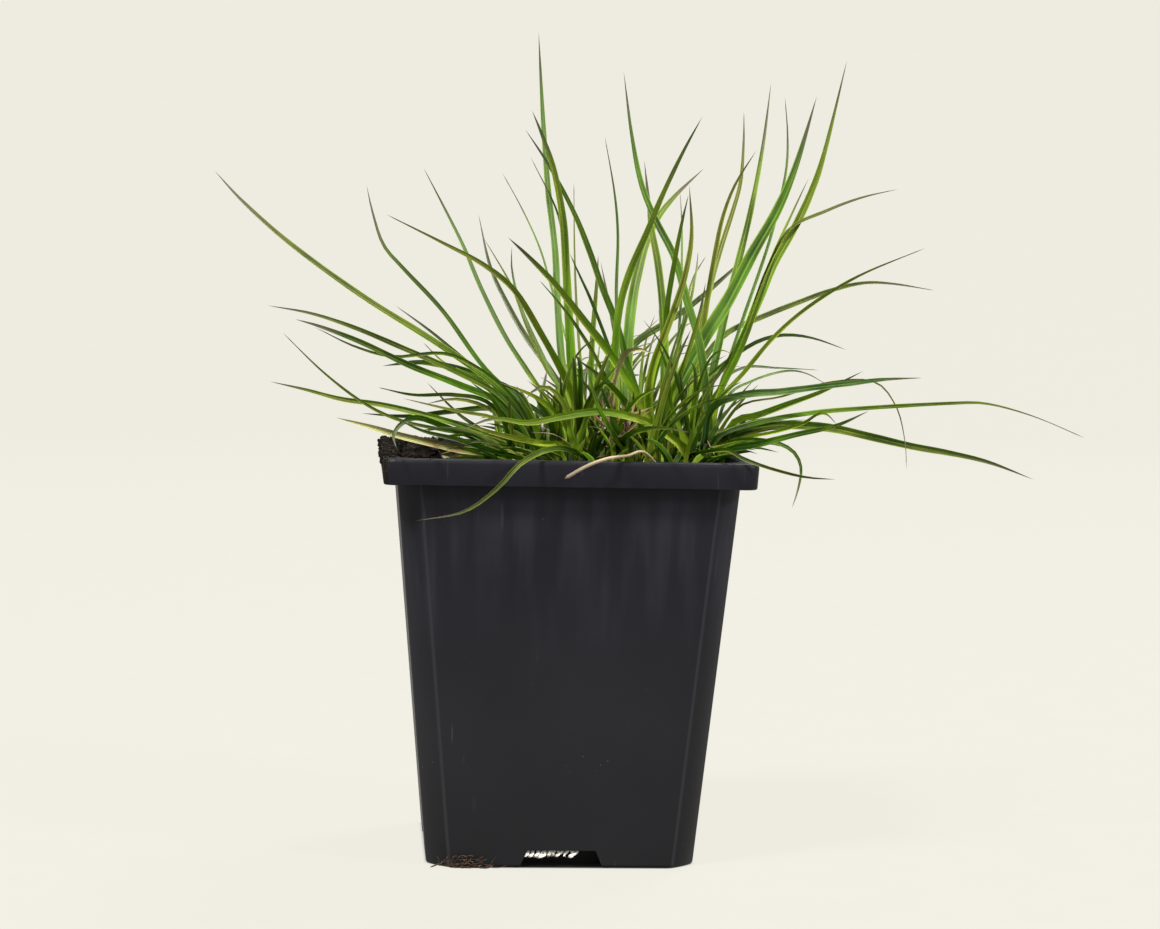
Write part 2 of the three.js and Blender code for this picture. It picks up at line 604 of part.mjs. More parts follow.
// A tiller that stands by rule is taken out again where too few leaves found room.
function uproot(tiller) {
  const others = placed.filter((other) => other.owner !== tiller);
  placed.splice(0, placed.length, ...others);
}

for (let attempt = 0; attempt < 400 && tillers.length < SURVEY.length + MORE_TILLERS; attempt += 1) {
  const angle = between(0, 2 * Math.PI);
  const share = Math.sqrt(random());
  const height = between(7, STALK_HEIGHT);
  const [out, aside] = [share * Math.cos(angle), share * Math.sin(angle)];
  const spot = [CROWN[0] + CROWN_REACH[0] * out, CROWN[1] + CROWN_REACH[1] * aside];
  const isNear = ({ spot: [x, y] }) => Math.hypot(x - spot[0], y - spot[1]) < SPACING;
  const name = `tiller_${two(tillers.length + 1)}`;
  if (![...tillers, ...dry].some(isNear)) {
    const tiller = plantTiller(name, spot, height, [2.4 * out, 2.4 * aside], GREEN);
    for (let k = 0; k < 5; k += 1) grow(tiller, ruledLeaf(tiller, LONG_LEAF, -0.2));
    if (tiller.leaves.length > 2) tillers.push(tiller);
    else uproot(tiller);
  }
}

// Lays a cone or a cylinder, 1 long, along a curve: its sides face the given way, and a function of
// how far along a point is gives how far it moves across and back.
function lay(geometry, curve, face, turn, shape) {
  const place = geometry.attributes.position;
  for (let i = 0; i < place.count; i += 1) {
    const s = place.getY(i) + 0.5;
    const tangent = curve.getTangent(s);
    const side = new THREE.Vector3().crossVectors(tangent, face).normalize().applyAxisAngle(tangent, turn);
    const normal = new THREE.Vector3().crossVectors(side, tangent);
    const [across, back] = shape(s, place.getX(i), place.getZ(i));
    const point = curve.getPoint(s).addScaledVector(side, across).addScaledVector(normal, back);
    place.setXYZ(i, point.x, point.y, point.z);
  }
  return solid(geometry);
}

// A leaf's section has two corners at its edges and one on the keel, and its tip is a point.
function blade({ curve, width, runs, turn, face }) {
  const geometry = new THREE.ConeGeometry(1, 1, 3, runs);
  return lay(geometry, curve, face, turn, (s, x, z) => {
    const ring = 1 - s;
    if (ring < 1e-6) return [0, 0];
    const thick = BLADE_THICKNESS / 1.5;
    return [-x / ring / Math.sqrt(3) * bladeWidth(width, s), -z / ring * thick];
  });
}

function tube(curve, runs, radiusAt) {
  const geometry = new THREE.CylinderGeometry(1, 1, 1, 6, runs);
  return lay(geometry, curve, toEye, 0, (s, x, z) => [x * radiusAt(s), z * radiusAt(s)]);
}

// The leaves of a tiller are fused into its stalk.
function fuse({ stalk, leaves }) {
  return leaves.map(blade).reduce((sum, part) => sum.add(part), tube(stalk, 2, stalkRadius));
}

const spots = [...tillers, ...dry].map(({ spot }) => spot);
addNode('pot', pot(), POT_BLACK, 0.5);
addNode('soil', soil([...spots, STRAW_SPOT]), PEAT, 0.95);
for (const plant of [...tillers, ...dry]) addNode(plant.name, fuse(plant), plant.color, 0.6);
addNode('dry_straw', tube(straw, STRAW_RUNS, () => STRAW_RADIUS), STRAW, 0.7);

export default group;
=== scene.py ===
# A young fountain grass in a square black nursery pot, dressed around the frame of its solids.
# The studio and the materials are in metres. The pieces are laid out in millimetres, as their solids
# are, and MM scales them when their meshes are made.
import math
import random
from types import SimpleNamespace

import bmesh
import bpy
import numpy as np
from mathutils import Matrix, Vector, noise


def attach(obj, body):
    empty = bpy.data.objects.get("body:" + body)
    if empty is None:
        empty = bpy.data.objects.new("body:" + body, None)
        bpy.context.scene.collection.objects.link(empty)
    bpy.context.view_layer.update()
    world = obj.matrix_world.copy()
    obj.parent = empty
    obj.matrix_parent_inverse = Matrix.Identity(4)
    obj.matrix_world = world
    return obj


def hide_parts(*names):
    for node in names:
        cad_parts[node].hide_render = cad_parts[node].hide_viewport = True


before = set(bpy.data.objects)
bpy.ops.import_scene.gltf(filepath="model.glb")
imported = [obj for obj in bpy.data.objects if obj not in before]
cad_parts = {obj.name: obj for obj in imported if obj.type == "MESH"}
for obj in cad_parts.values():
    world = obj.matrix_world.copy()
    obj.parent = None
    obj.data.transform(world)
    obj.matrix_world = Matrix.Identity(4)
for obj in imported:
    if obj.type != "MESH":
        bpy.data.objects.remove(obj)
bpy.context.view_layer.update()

# The studio: a bowl of cream paper that glows a little, so that the ground is even from every side,
# and three soft lamps: over the camera's left shoulder, lower down on the right, and behind, where it
# shines through the leaves. The eye is a little above the rim.
EYE = (-0.05224, -0.74777, 0.14515)
YAW = -0.0766
PITCH = 0.0649
ROLL = 0.0202
FOCAL_PIXELS = 2977.9
PHOTO_WIDTH = 1160


def paint(code):
    """The linear colour of a #rrggbb code."""
    parts = [int(code[i:i + 2], 16) / 255 for i in (1, 3, 5)]
    return tuple(p / 12.92 if p < 0.04045 else ((p + 0.055) / 1.055) ** 2.4 for p in parts) + (1.0,)


class Shade:
    """A socket among a material's nodes. Arithmetic on it adds Math nodes."""

    def __init__(self, nodes, socket=None):
        self.nodes = nodes
        self.socket = socket

    def add(self, kind, settings=None, sockets=None, out=0):
        """Another node: its type, what is set on it first, its sockets' values or links."""
        node = self.nodes.new("ShaderNode" + kind)
        for name, value in (settings or {}).items():
            if name == "stops":
                while len(node.color_ramp.elements) < len(value):
                    node.color_ramp.elements.new(1.0)
                for stop, (place, colour) in zip(node.color_ramp.elements, value):
                    stop.position = place
                    stop.color = paint(colour)
            else:
                setattr(node, name, value)
        for name, value in (sockets or {}).items():
            if isinstance(value, Shade):
                node.id_data.links.new(value.socket, node.inputs[name])
            else:
                node.inputs[name].default_value = value
        return Shade(self.nodes, node.outputs[out])

    def work(self, operation, *values):
        return self.add("Math", {"operation": operation}, dict(enumerate([self, *values])))

    def __add__(self, other):
        return self.work("ADD", other)

    def __sub__(self, other):
        return self.work("SUBTRACT", other)

    def __mul__(self, other):
        return self.work("MULTIPLY", other)

    def __rsub__(self, other):
        return self.add("Math", {"operation": "SUBTRACT"}, {0: other, 1: self})

    __radd__ = __add__
    __rmul__ = __mul__

    def abs(self):
        return self.work("ABSOLUTE")

    def sine(self):
        return self.work("SINE")

    def ramp(self, low, high):
        """0 below low, 1 above high and smooth between them, either way round."""
        settings = {"interpolation_type": "SMOOTHSTEP"}
        if low < high:
            return self.add("MapRange", settings, {"Value": self, "From Min": low, "From Max": high})
        return 1 - self.ramp(high, low)

    def under(self, cover, amount):
        """This colour under another one, or under a #rrggbb code, by an amount."""
        cover = paint(cover) if isinstance(cover, str) else cover
        return self.add("Mix", {"data_type": "RGBA"}, {0: amount, 6: self, 7: cover}, out=2)

    def colour(self, stops):
        return self.add("ValToRGB", {"stops": stops}, {"Fac": self})

    def bump(self, distance, strength):
        """A surface's normals with this height as relief on them."""
        return self.add("Bump", None, {"Height": self, "Distance": distance, "Strength": strength})

    def place(self):
        """The place in the object's own space."""
        return self.add("TexCoord", out=3)

    def part(self, axis):
        """The x, y or z of a place."""
        return self.add("SeparateXYZ", None, {"Vector": self}, out="xyz".index(axis))

    def noise(self, scale, detail=3.0, stretch=(1, 1, 1), seed=0.0, place=None):
        """Noise in the object's own space, or over the places given."""
        place = place or self.place()
        turned = self.add("Mapping", None, {"Vector": place, "Scale": stretch, "Location": (seed, 0, 0)})
        return self.add("TexNoise", None, {"Vector": turned, "Scale": scale, "Detail": detail})


def finish_of(name):
    """A new material, its nodes and the socket that its surface goes into."""
    material = bpy.data.materials.new(name)
    material.use_nodes = True
    nodes = material.node_tree.nodes
    nodes.clear()
    surface = nodes.new("ShaderNodeOutputMaterial").inputs["Surface"]
    return material, Shade(nodes), surface


def piece(name, bm, material):
    """Ends a bmesh as an object of the scene."""
    mesh = bpy.data.meshes.new(name)
    bm.to_mesh(mesh)
    bm.free()
    mesh.materials.append(material)
    thing = bpy.data.objects.new(name, mesh)
    bpy.context.scene.collection.objects.link(thing)
    return thing


CREAM = "#f1eee3"
PAPER_GLOW = 0.925
paper, shade, surface = finish_of("cream_paper")
fibres = shade.noise(60.0).colour([(0.3, "#242423"), (0.7, "#262625")])
reach_x = shade.place().part("x").abs()
reach_y = shade.place().part("y").abs()
# The paper's glow is taken away under the pot's foot, a square with its corners cut off: a painted contact
# shadow where no light comes.
painted_shadow_under_pot = reach_x.ramp(0.0335, 0.0315) * reach_y.ramp(0.0335, 0.0315)
painted_shadow_under_pot = painted_shadow_under_pot * (reach_x + reach_y).ramp(0.0605, 0.058)
paper_skin = shade.add("BsdfPrincipled", None, {
    "Base Color": fibres,
    "Roughness": 1.0,
    "Specular IOR Level": 0.0,
    "Emission Color": painted_shadow_under_pot.colour([(0.0, CREAM), (1.0, "#0a0a0a")]),
    "Emission Strength": PAPER_GLOW,
})
paper.node_tree.links.new(paper_skin.socket, surface)

FLOOR_RADIUS = 2.0
FOOT_RADIUS = 0.7
WALL_TOP = 2.4
bm = bmesh.new()
middle = bm.verts.new((0, 0, 0))
end = bm.verts.new((FLOOR_RADIUS, 0, 0))
bm.edges.new((middle, end))
curve = bmesh.ops.spin(bm, geom=[end], cent=(FLOOR_RADIUS, 0, FOOT_RADIUS), axis=(0, -1, 0),
                       angle=math.pi / 2, steps=16)
edge = [v for v in curve["geom_last"] if isinstance(v, bmesh.types.BMVert)]
wall = bmesh.ops.extrude_vert_indiv(bm, verts=edge)["verts"]
wall[0].co.z = WALL_TOP
bmesh.ops.spin(bm, geom=bm.verts[:] + bm.edges[:], cent=(0, 0, 0), axis=(0, 0, 1), angle=math.tau, steps=72,
               use_merge=True)
bmesh.ops.remove_doubles(bm, verts=bm.verts, dist=0.0001)
for face in bm.faces:
    face.smooth = True
piece("paper_bowl", bm, paper)


LAMP_WHITE = "#fffdf8"
LAMPS_AIM = (0, 0, 0.1)


def soft_light(name, place, size, watts):
    lamp = bpy.data.lights.new(name, "AREA")
    lamp.shape = "DISK"
    lamp.size = size
    lamp.energy = watts
    lamp.color = paint(LAMP_WHITE)[:3]
    thing = bpy.data.objects.new(name, lamp)
    thing.location = place
    aim = Vector(LAMPS_AIM) - Vector(place)
    thing.rotation_euler = aim.to_track_quat("-Z", "Y").to_euler()
    bpy.context.scene.collection.objects.link(thing)


soft_light("key", (-1.1, -1.1, 2.2), 0.45, 170)
soft_light("fill", (1.7, -1.1, 1.2), 0.5, 60)
soft_light("back", (0.9, 1.2, 1.9), 0.6, 90)
world = bpy.data.worlds.new("studio")
world.use_nodes = True
world.node_tree.nodes["Background"].inputs["Color"].default_value = paint(CREAM)
world.node_tree.nodes["Background"].inputs["Strength"].default_value = 0.5
bpy.context.scene.world = world
bpy.context.scene.view_settings.view_transform = "Standard"

camera = bpy.data.cameras.new("camera")
camera.sensor_fit = "HORIZONTAL"
camera.lens = camera.sensor_width * FOCAL_PIXELS / PHOTO_WIDTH
ahead = Vector((-math.sin(YAW) * math.cos(PITCH), math.cos(YAW) * math.cos(PITCH), -math.sin(PITCH)))
level = Vector((math.cos(YAW), math.sin(YAW), 0))
right = math.cos(ROLL) * level + math.sin(ROLL) * level.cross(ahead)
up = right.cross(ahead)
watcher = bpy.data.objects.new("camera", camera)
watcher.matrix_world = Matrix.Translation(EYE) @ Matrix((right, up, -ahead)).transposed().to_4x4()
bpy.context.scene.collection.objects.link(watcher)
bpy.context.scene.camera = watcher


# The pot: one thin moulding of black plastic, 9 cm across its rim and 10 cm tall. It tapers, its
# corners are cut off flat with a crisp edge on each side, a skirt hangs from its rim, and each side
# has a drainage notch in its foot, set back into the pot. The floor has four drain holes.
MM = 0.001
POT_HEIGHT = 100.0
BASE_HALF = 32.7
TOP_HALF = 41.9
BODY_CORNER = 5.5
WALL = 1.1
FLOOR = 1.6
RIM_HALF = 45.0
RIM_CORNER = 3.0
RIM_DROP = 6.3
SKIRT = 1.3
NOTCH_TOP = 16.6
NOTCH_BOTTOM = 21.4
NOTCH_HEIGHT = 4.4
NOTCH_DEPTH = 6.0
DRAIN_RADIUS = 4.0
DRAIN_OFFSET = 17.0
CORNER_STEPS = 6
SIDE_STEPS = 14
RING = 4 * (CORNER_STEPS + SIDE_STEPS)
CUT = 0.3
ROUND = 1.0


def body_half(z):
    return BASE_HALF + (TOP_HALF - BASE_HALF) * z / POT_HEIGHT


def ring_place(k, half, corner, bulge):
    """Where point k of a square ring lies. Its corners go from cut off flat to round as bulge grows."""
    quarter, step = divmod(k, CORNER_STEPS + SIDE_STEPS)
    if step <= CORNER_STEPS:
        t = step / CORNER_STEPS
        arc = Vector((math.cos(t * math.pi / 2), math.sin(t * math.pi / 2)))
        spot = Vector((half - corner, half - corner)) + corner * Vector((1 - t, t)).lerp(arc, bulge)
    else:
        t = (step - CORNER_STEPS) / SIDE_STEPS
        spot = Vector((half - corner, half)).lerp(Vector((corner - half, half)), t)
    spot.rotate(Matrix.Rotation(quarter * math.pi / 2, 2))
    return spot


def stack(bm, levels):
    """A wall that climbs through square rings, each being (height, half width, corner, bulge)."""
    index = bm.verts.layers.int.new("ring_point")
    verts = bmesh.ops.create_circle(bm, segments=RING)["verts"]
    edges = list(bm.edges)
    for k, v in enumerate(verts):
        v[index] = k
    for number, (z, half, corner, bulge) in enumerate(levels):
        if number:
            made = bmesh.ops.extrude_edge_only(bm, edges=edges)["geom"]
            verts = [v for v in made if isinstance(v, bmesh.types.BMVert)]
            edges = [e for e in made if isinstance(e, bmesh.types.BMEdge)]
        for v in verts:
            x, y = ring_place(v[index], half, corner, bulge)
            v.co = Vector((x, y, z)) * MM


bm = bmesh.new()
skirt_foot = POT_HEIGHT - RIM_DROP
outside = [(0.0, BASE_HALF - 0.9, 4.6, CUT), (0.2, BASE_HALF - 0.35, 5.1, CUT)]
outside += [(z, body_half(z), BODY_CORNER, CUT) for z in (0.8, 8, 20, 35, 50, 65, 80, 90, 98.2, 98.7)]
skirt = [
    (98.7, RIM_HALF - SKIRT - 0.3, 2.0, ROUND), (98.4, RIM_HALF - SKIRT, 2.0, ROUND),
    (skirt_foot + 0.3, RIM_HALF - SKIRT - 0.1, 2.0, ROUND), (skirt_foot, RIM_HALF - SKIRT + 0.2, 2.2, ROUND),
    (skirt_foot, RIM_HALF - 0.7, 2.8, ROUND), (skirt_foot + 0.12, RIM_HALF - 0.42, 2.9, ROUND),
    (skirt_foot + 0.4, RIM_HALF - 0.3, RIM_CORNER, ROUND), (98.9, RIM_HALF, RIM_CORNER, ROUND),
    (99.45, RIM_HALF - 0.08, RIM_CORNER, ROUND), (99.8, RIM_HALF - 0.3, 2.9, ROUND),
    (99.96, RIM_HALF - 0.65, 2.7, ROUND), (100.0, RIM_HALF - 1.1, 2.5, ROUND),
]
inside_half = body_half(POT_HEIGHT) - WALL
inside = [
    (100.0, inside_half + 0.6, 4.9, 0.5), (99.9, inside_half + 0.2, 4.7, CUT), (99.4, inside_half, 4.4, CUT),
    (60.0, body_half(60) - WALL, 4.4, CUT), (3.0, body_half(3) - WALL, 4.4, CUT),
    (FLOOR, body_half(FLOOR) - WALL - 1.2, 3.6, CUT),
]
stack(bm, outside + skirt + inside)
bmesh.ops.holes_fill(bm, edges=bm.edges)
bmesh.ops.recalc_face_normals(bm, faces=bm.faces)


def notch(bm, side, margin, inner, outer, bottom):
    """A block in the shape of a side's drainage notch, grown by a margin."""
    verts = bmesh.ops.create_cube(bm, size=1.0)["verts"]
    for v in verts:
        high = v.co.z > 0
        breadth = NOTCH_TOP if high else NOTCH_BOTTOM
        x = 2 * v.co.x * (breadth / 2 + margin)
        y = -(inner if v.co.y > 0 else outer)
        v.co = Vector((x, y, NOTCH_HEIGHT + margin if high else bottom)) * MM
    bmesh.ops.rotate(bm, cent=(0, 0, 0), matrix=Matrix.Rotation(side * math.pi / 2, 3, "Z"), verts=verts)


def carve(operation, shape, block):
    """Joins a block to a shape or cuts it out, and gives the new mesh."""
    tool = piece("tool", block, plastic)
    thing = piece("work", shape, plastic)
    boolean = thing.modifiers.new(operation, "BOOLEAN")
    boolean.operation = operation
    boolean.object = tool
    made = bpy.data.meshes.new_from_object(thing.evaluated_get(bpy.context.evaluated_depsgraph_get()))
    bpy.data.objects.remove(thing)
    bpy.data.objects.remove(tool)
    result = bmesh.new()
    result.from_mesh(made)
    return result


plastic, shade, surface = finish_of("black_plastic")
notch_back = BASE_HALF - NOTCH_DEPTH
pockets = bmesh.new()
holes = bmesh.new()
for side in range(4):
    notch(pockets, side, WALL, notch_back - WALL, BASE_HALF - 0.6, 0.0)
    notch(holes, side, 0.0, notch_back, RIM_HALF, -1.0)
    drain = bmesh.ops.create_cone(holes, cap_ends=True, segments=28, radius1=DRAIN_RADIUS * MM,
                                  radius2=DRAIN_RADIUS * MM, depth=3 * FLOOR * MM)["verts"]
    corner = Vector((DRAIN_OFFSET, DRAIN_OFFSET, 0)) * MM
    corner.rotate(Matrix.Rotation(side * math.pi / 2, 3, "Z"))
    bmesh.ops.translate(holes, vec=corner, verts=drain)
bm = carve("UNION", bm, pockets)
bm = carve("DIFFERENCE", bm, holes)
bmesh.ops.remove_doubles(bm, verts=bm.verts, dist=0.01 * MM)
bmesh.ops.dissolve_degenerate(bm, edges=bm.edges, dist=0.001 * MM)
for face in bm.faces:
    face.smooth = True
SHARP = math.radians(26)
for e in bm.edges:
    e.smooth = e.calc_face_angle(0) < SHARP

# Black plastic: flow marks from the mould run down the upper half of each side, and there are a few
# light scuffs, scratches and specks of dust.
place = shade.place()
side_x = place.part("x")
side_y = place.part("y")
height = place.part("z")
flow = shade.noise(260.0, 2.0, (1, 1, 0.05))
broad = shade.noise(28.0, 3.0, (1, 1, 0.6), 3.0)
upper = height.ramp(0.048, 0.07) * height.ramp(0.097, 0.09)
streaks = flow.ramp(0.35, 0.72) * upper * broad.ramp(0.35, 0.6)
scratch = shade.noise(700.0, 1.0, (1, 0.9, 0.03), 7.0).ramp(0.70, 0.76) * broad.ramp(0.5, 0.62)
dust = shade.add("TexVoronoi", None, {"Vector": place, "Scale": 620.0}).ramp(0.13, 0.06)
dust = dust * shade.noise(60.0, 2.0, seed=1.0).ramp(0.6, 0.68)
# Thin lighter lines along the crisp corner edges below the rim: a painted highlight.
slope = (TOP_HALF - BASE_HALF) / POT_HEIGHT
arris_x = (side_x.abs() - slope * height - (BASE_HALF - BODY_CORNER) * MM).abs()
arris_y = (side_y.abs() - slope * height - (BASE_HALF - BODY_CORNER) * MM).abs()
arris_highlight = (arris_x.ramp(0.0006, 0.0001) + arris_y.ramp(0.0006, 0.0001)) * height.ramp(0.0942, 0.093)
# The left of the rim and the inside of the wall below it are darkened: partly peat stuck to them, partly
# painted shade from the leaves above.
soil_and_painted_shade = side_x.ramp(-0.03, -0.038) * height.ramp(0.0925, 0.0945) * side_y.ramp(-0.0446, -0.0436)
soil_and_painted_shade = soil_and_painted_shade * shade.noise(420.0, 4.0).ramp(0.32, 0.42)
# Darker and bluer towards the top of the pot: painted shade under the rim.
share = height * (1 / (POT_HEIGHT * MM))
black = share.colour([(0.0, "#151517"), (0.35, "#19191c"), (0.75, "#121218"), (1.0, "#0f0f16")])
grey = broad.colour([(0.3, "#0d0d12"), (0.7, "#1a1a1f")])
black = black.under(grey, 0.35)
# Scratches are real wear; the lighter corner edges are the painted highlight.
black = black.under("#303034", scratch * 0.5 + arris_highlight * 0.35)
black = black.under("#5a5851", dust * 0.4)
black = black.under("#23232b", streaks * 0.5)
# Peat dirt and painted shade on the left of the rim.
black = black.under("#0b0805", soil_and_painted_shade)
relief = streaks * 0.5 + shade.noise(900.0, 2.0) * 0.05 - scratch * 0.15 + dust * 0.2
relief = relief + soil_and_painted_shade * shade.noise(900.0, 3.0) * 3
moulding = shade.add("BsdfPrincipled", None, {
    "Base Color": black,
    "Roughness": 0.4 + 0.14 * broad + 0.1 * streaks + 0.2 * dust + 0.4 * soil_and_painted_shade,
    "Normal": relief.bump(0.0002, 0.6),
    "Specular IOR Level": 0.1,
})
plastic.node_tree.links.new(moulding.socket, surface)
pot = piece("nursery_pot", bm, plastic)
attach(pot, "root")
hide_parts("pot")

# The soil: dark peat that fills the pot to a little below its rim and rises under the grass. Its
# surface is crumbly, with loose crumbs, and thin dead roots and fibres lie on it.
SOIL_LEVEL = 91.4
SOIL_CROWN = 2.6
SOIL_GAP = 0.3
SOIL_RINGS = 46
SOIL_CORNER = 4.1
CROWN = (12.0, -1.0)
CROWN_WIDTH = 30
PEAT_LUMPS = [(0.9, 0.45), (0.55, 1.1), (0.3, 2.6)]
PEAT_SINK = 0.3


def soil_top(x, y):
    """The height of the solid's soil: a crown under the grass, lumps and waves."""
    rise = np.exp(-((x - CROWN[0]) ** 2 + (y - CROWN[1]) ** 2) / CROWN_WIDTH ** 2)
    lumps = 0.5 * np.sin(0.42 * x + 1.3) * np.sin(0.47 * y - 0.4)
    return SOIL_LEVEL + SOIL_CROWN * rise + lumps + 0.35 * np.sin(0.9 * x + 0.7 * y)


def peat_top(x, y):
    """The height of the crumbly peat, which lies a little below the solid's soil."""
    spot = Vector((x, y, 0))
    crumbly = sum(height * noise.noise(spot * fineness) for height, fineness in PEAT_LUMPS)
    return soil_top(x, y) + crumbly - PEAT_SINK


bm = bmesh.new()
inset = WALL + SOIL_GAP
levels = [(z, body_half(z) - inset, SOIL_CORNER, CUT) for z in (FLOOR + SOIL_GAP, 40, 80, SOIL_LEVEL)]
for k in range(1, SOIL_RINGS):
    share = 1 - k / SOIL_RINGS
    levels.append((SOIL_LEVEL, (body_half(SOIL_LEVEL) - inset) * share, SOIL_CORNER * share, CUT))
stack(bm, levels)
bmesh.ops.holes_fill(bm, edges=bm.edges)
for v in bm.verts:
    x, y, z = v.co / MM
    if z > SOIL_LEVEL - 0.1:
        v.co.z = peat_top(x, y) * MM
bmesh.ops.recalc_face_normals(bm, faces=bm.faces)
pockets = bmesh.new()
for side in range(4):
    notch(pockets, side, inset, notch_back - inset, RIM_HALF, -1.0)
bm = carve("DIFFERENCE", bm, pockets)
for face in bm.faces:
    face.smooth = True

peat, shade, surface = finish_of("peat")
clods = shade.noise(520.0, 4.0)
damp = shade.noise(60.0, 3.0, seed=4.0)
fibre = shade.noise(1400.0, 2.0, (1, 0.2, 0.4), 2.0)
brown = clods.colour([(0.3, "#050403"), (0.5, "#0f0b08"), (0.68, "#1d150e"), (0.8, "#362a1d")])
brown = brown.under("#0a0705", damp.ramp(0.45, 0.65) * 0.6)
brown = brown.under("#6b5537", fibre.ramp(0.66, 0.74) * 0.5)
earth = shade.add("BsdfPrincipled", None, {
    "Base Color": brown,
    "Roughness": 0.95 - 0.25 * damp.ramp(0.4, 0.7),
    "Specular IOR Level": 0.06,
    "Normal": clods.bump(0.0006, 0.8),
})
peat.node_tree.links.new(earth.socket, surface)
soil = piece("peat_soil", bm, peat)
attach(soil, "root")
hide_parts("soil")

# Loose crumbs: small lumps of peat that lie on the soil, more of them along the wall. Some were
# spilled on the left of the rim, where bigger clods lean on the inside of the wall.
CRUMBS = 900
RIM_CRUMBS = 420
CLOD_CRUMBS = 14
# The clods inside the left wall are partly real peat, and partly dark lumps that stand in for the shade of
# the leaves there.
CLODS = [
    (-33, 20, 96.5, 3.4), (-37, 32, 96.5, 3.6), (-37.5, 8, 95.5, 3), (-29, 36, 96, 3.6),
    (-38.5, -8, 95, 2.6), (-37.5, -22, 95, 2.6), (-27, 26, 95.5, 3), (-38, 20, 96.5, 3),
    (-36, -34, 94.5, 2.6), (-31, -36, 94, 2.4),
]
# The draws and the noise that shape the crumbs are seeded, so each run gives the same ones.
shake = random.Random(5)
noise.seed_set(5)


def crumb(bm, x, y, z, size, finer=1):
    verts = bmesh.ops.create_icosphere(bm, subdivisions=finer, radius=size * MM)["verts"]
    shape = Matrix.Diagonal([shake.uniform(*r) for r in ((0.6, 1.5), (0.6, 1.2), (0.4, 0.9))]).to_4x4()
    angle = shake.uniform(0, math.tau)
    turn = Matrix.Rotation(angle, 4, (shake.random(), shake.random(), shake.random() + 0.1))
    bmesh.ops.transform(bm, matrix=Matrix.Translation(Vector((x, y, z)) * MM) @ turn @ shape, verts=verts)
    for v in verts:
        v.co += 0.22 * size * MM * noise.noise_vector(v.co * (2600 / finer))


bm = bmesh.new()
reach = body_half(SOIL_LEVEL) - inset - 1.2
for number in range(CRUMBS):
    x, y = (reach * math.copysign(abs(shake.uniform(-1, 1)) ** 0.75, shake.uniform(-1, 1)) for axis in "xy")
    size = shake.uniform(0.35, 1.0) * (1.6 if shake.random() < 0.08 else 1.0)
    crumb(bm, x, y, peat_top(x, y) + 0.2 * size, size)
for number in range(RIM_CRUMBS):
    share = shake.random()
    size = 0.25 + 0.6 * shake.random() ** 3
    if share < 0.6:
        x, y, z = shake.uniform(-44.6, -40.8), 43 - 85 * shake.random() ** 1.3, 100.1
    elif share < 0.8:
        x, y, z = -45.05, 42 - 80 * shake.random(), shake.uniform(97.5, 99.8)
    else:
        x, y, z = -41 + 18 * shake.random() ** 2, shake.uniform(41, 44.5), 100.1
    crumb(bm, x, y, z, size)
for x, y, z, size in CLODS:
    crumb(bm, x, y, z, size, 3)
    for number in range(CLOD_CRUMBS):
        out = [size * shake.gauss(0, 0.6) for axis in "xyz"]
        crumb(bm, x + abs(out[0]) * 0.7, y + out[1], z + out[2] * 0.5, shake.uniform(0.4, 1.1))
crumbs = piece("peat_crumbs", bm, peat)
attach(crumbs, "root")

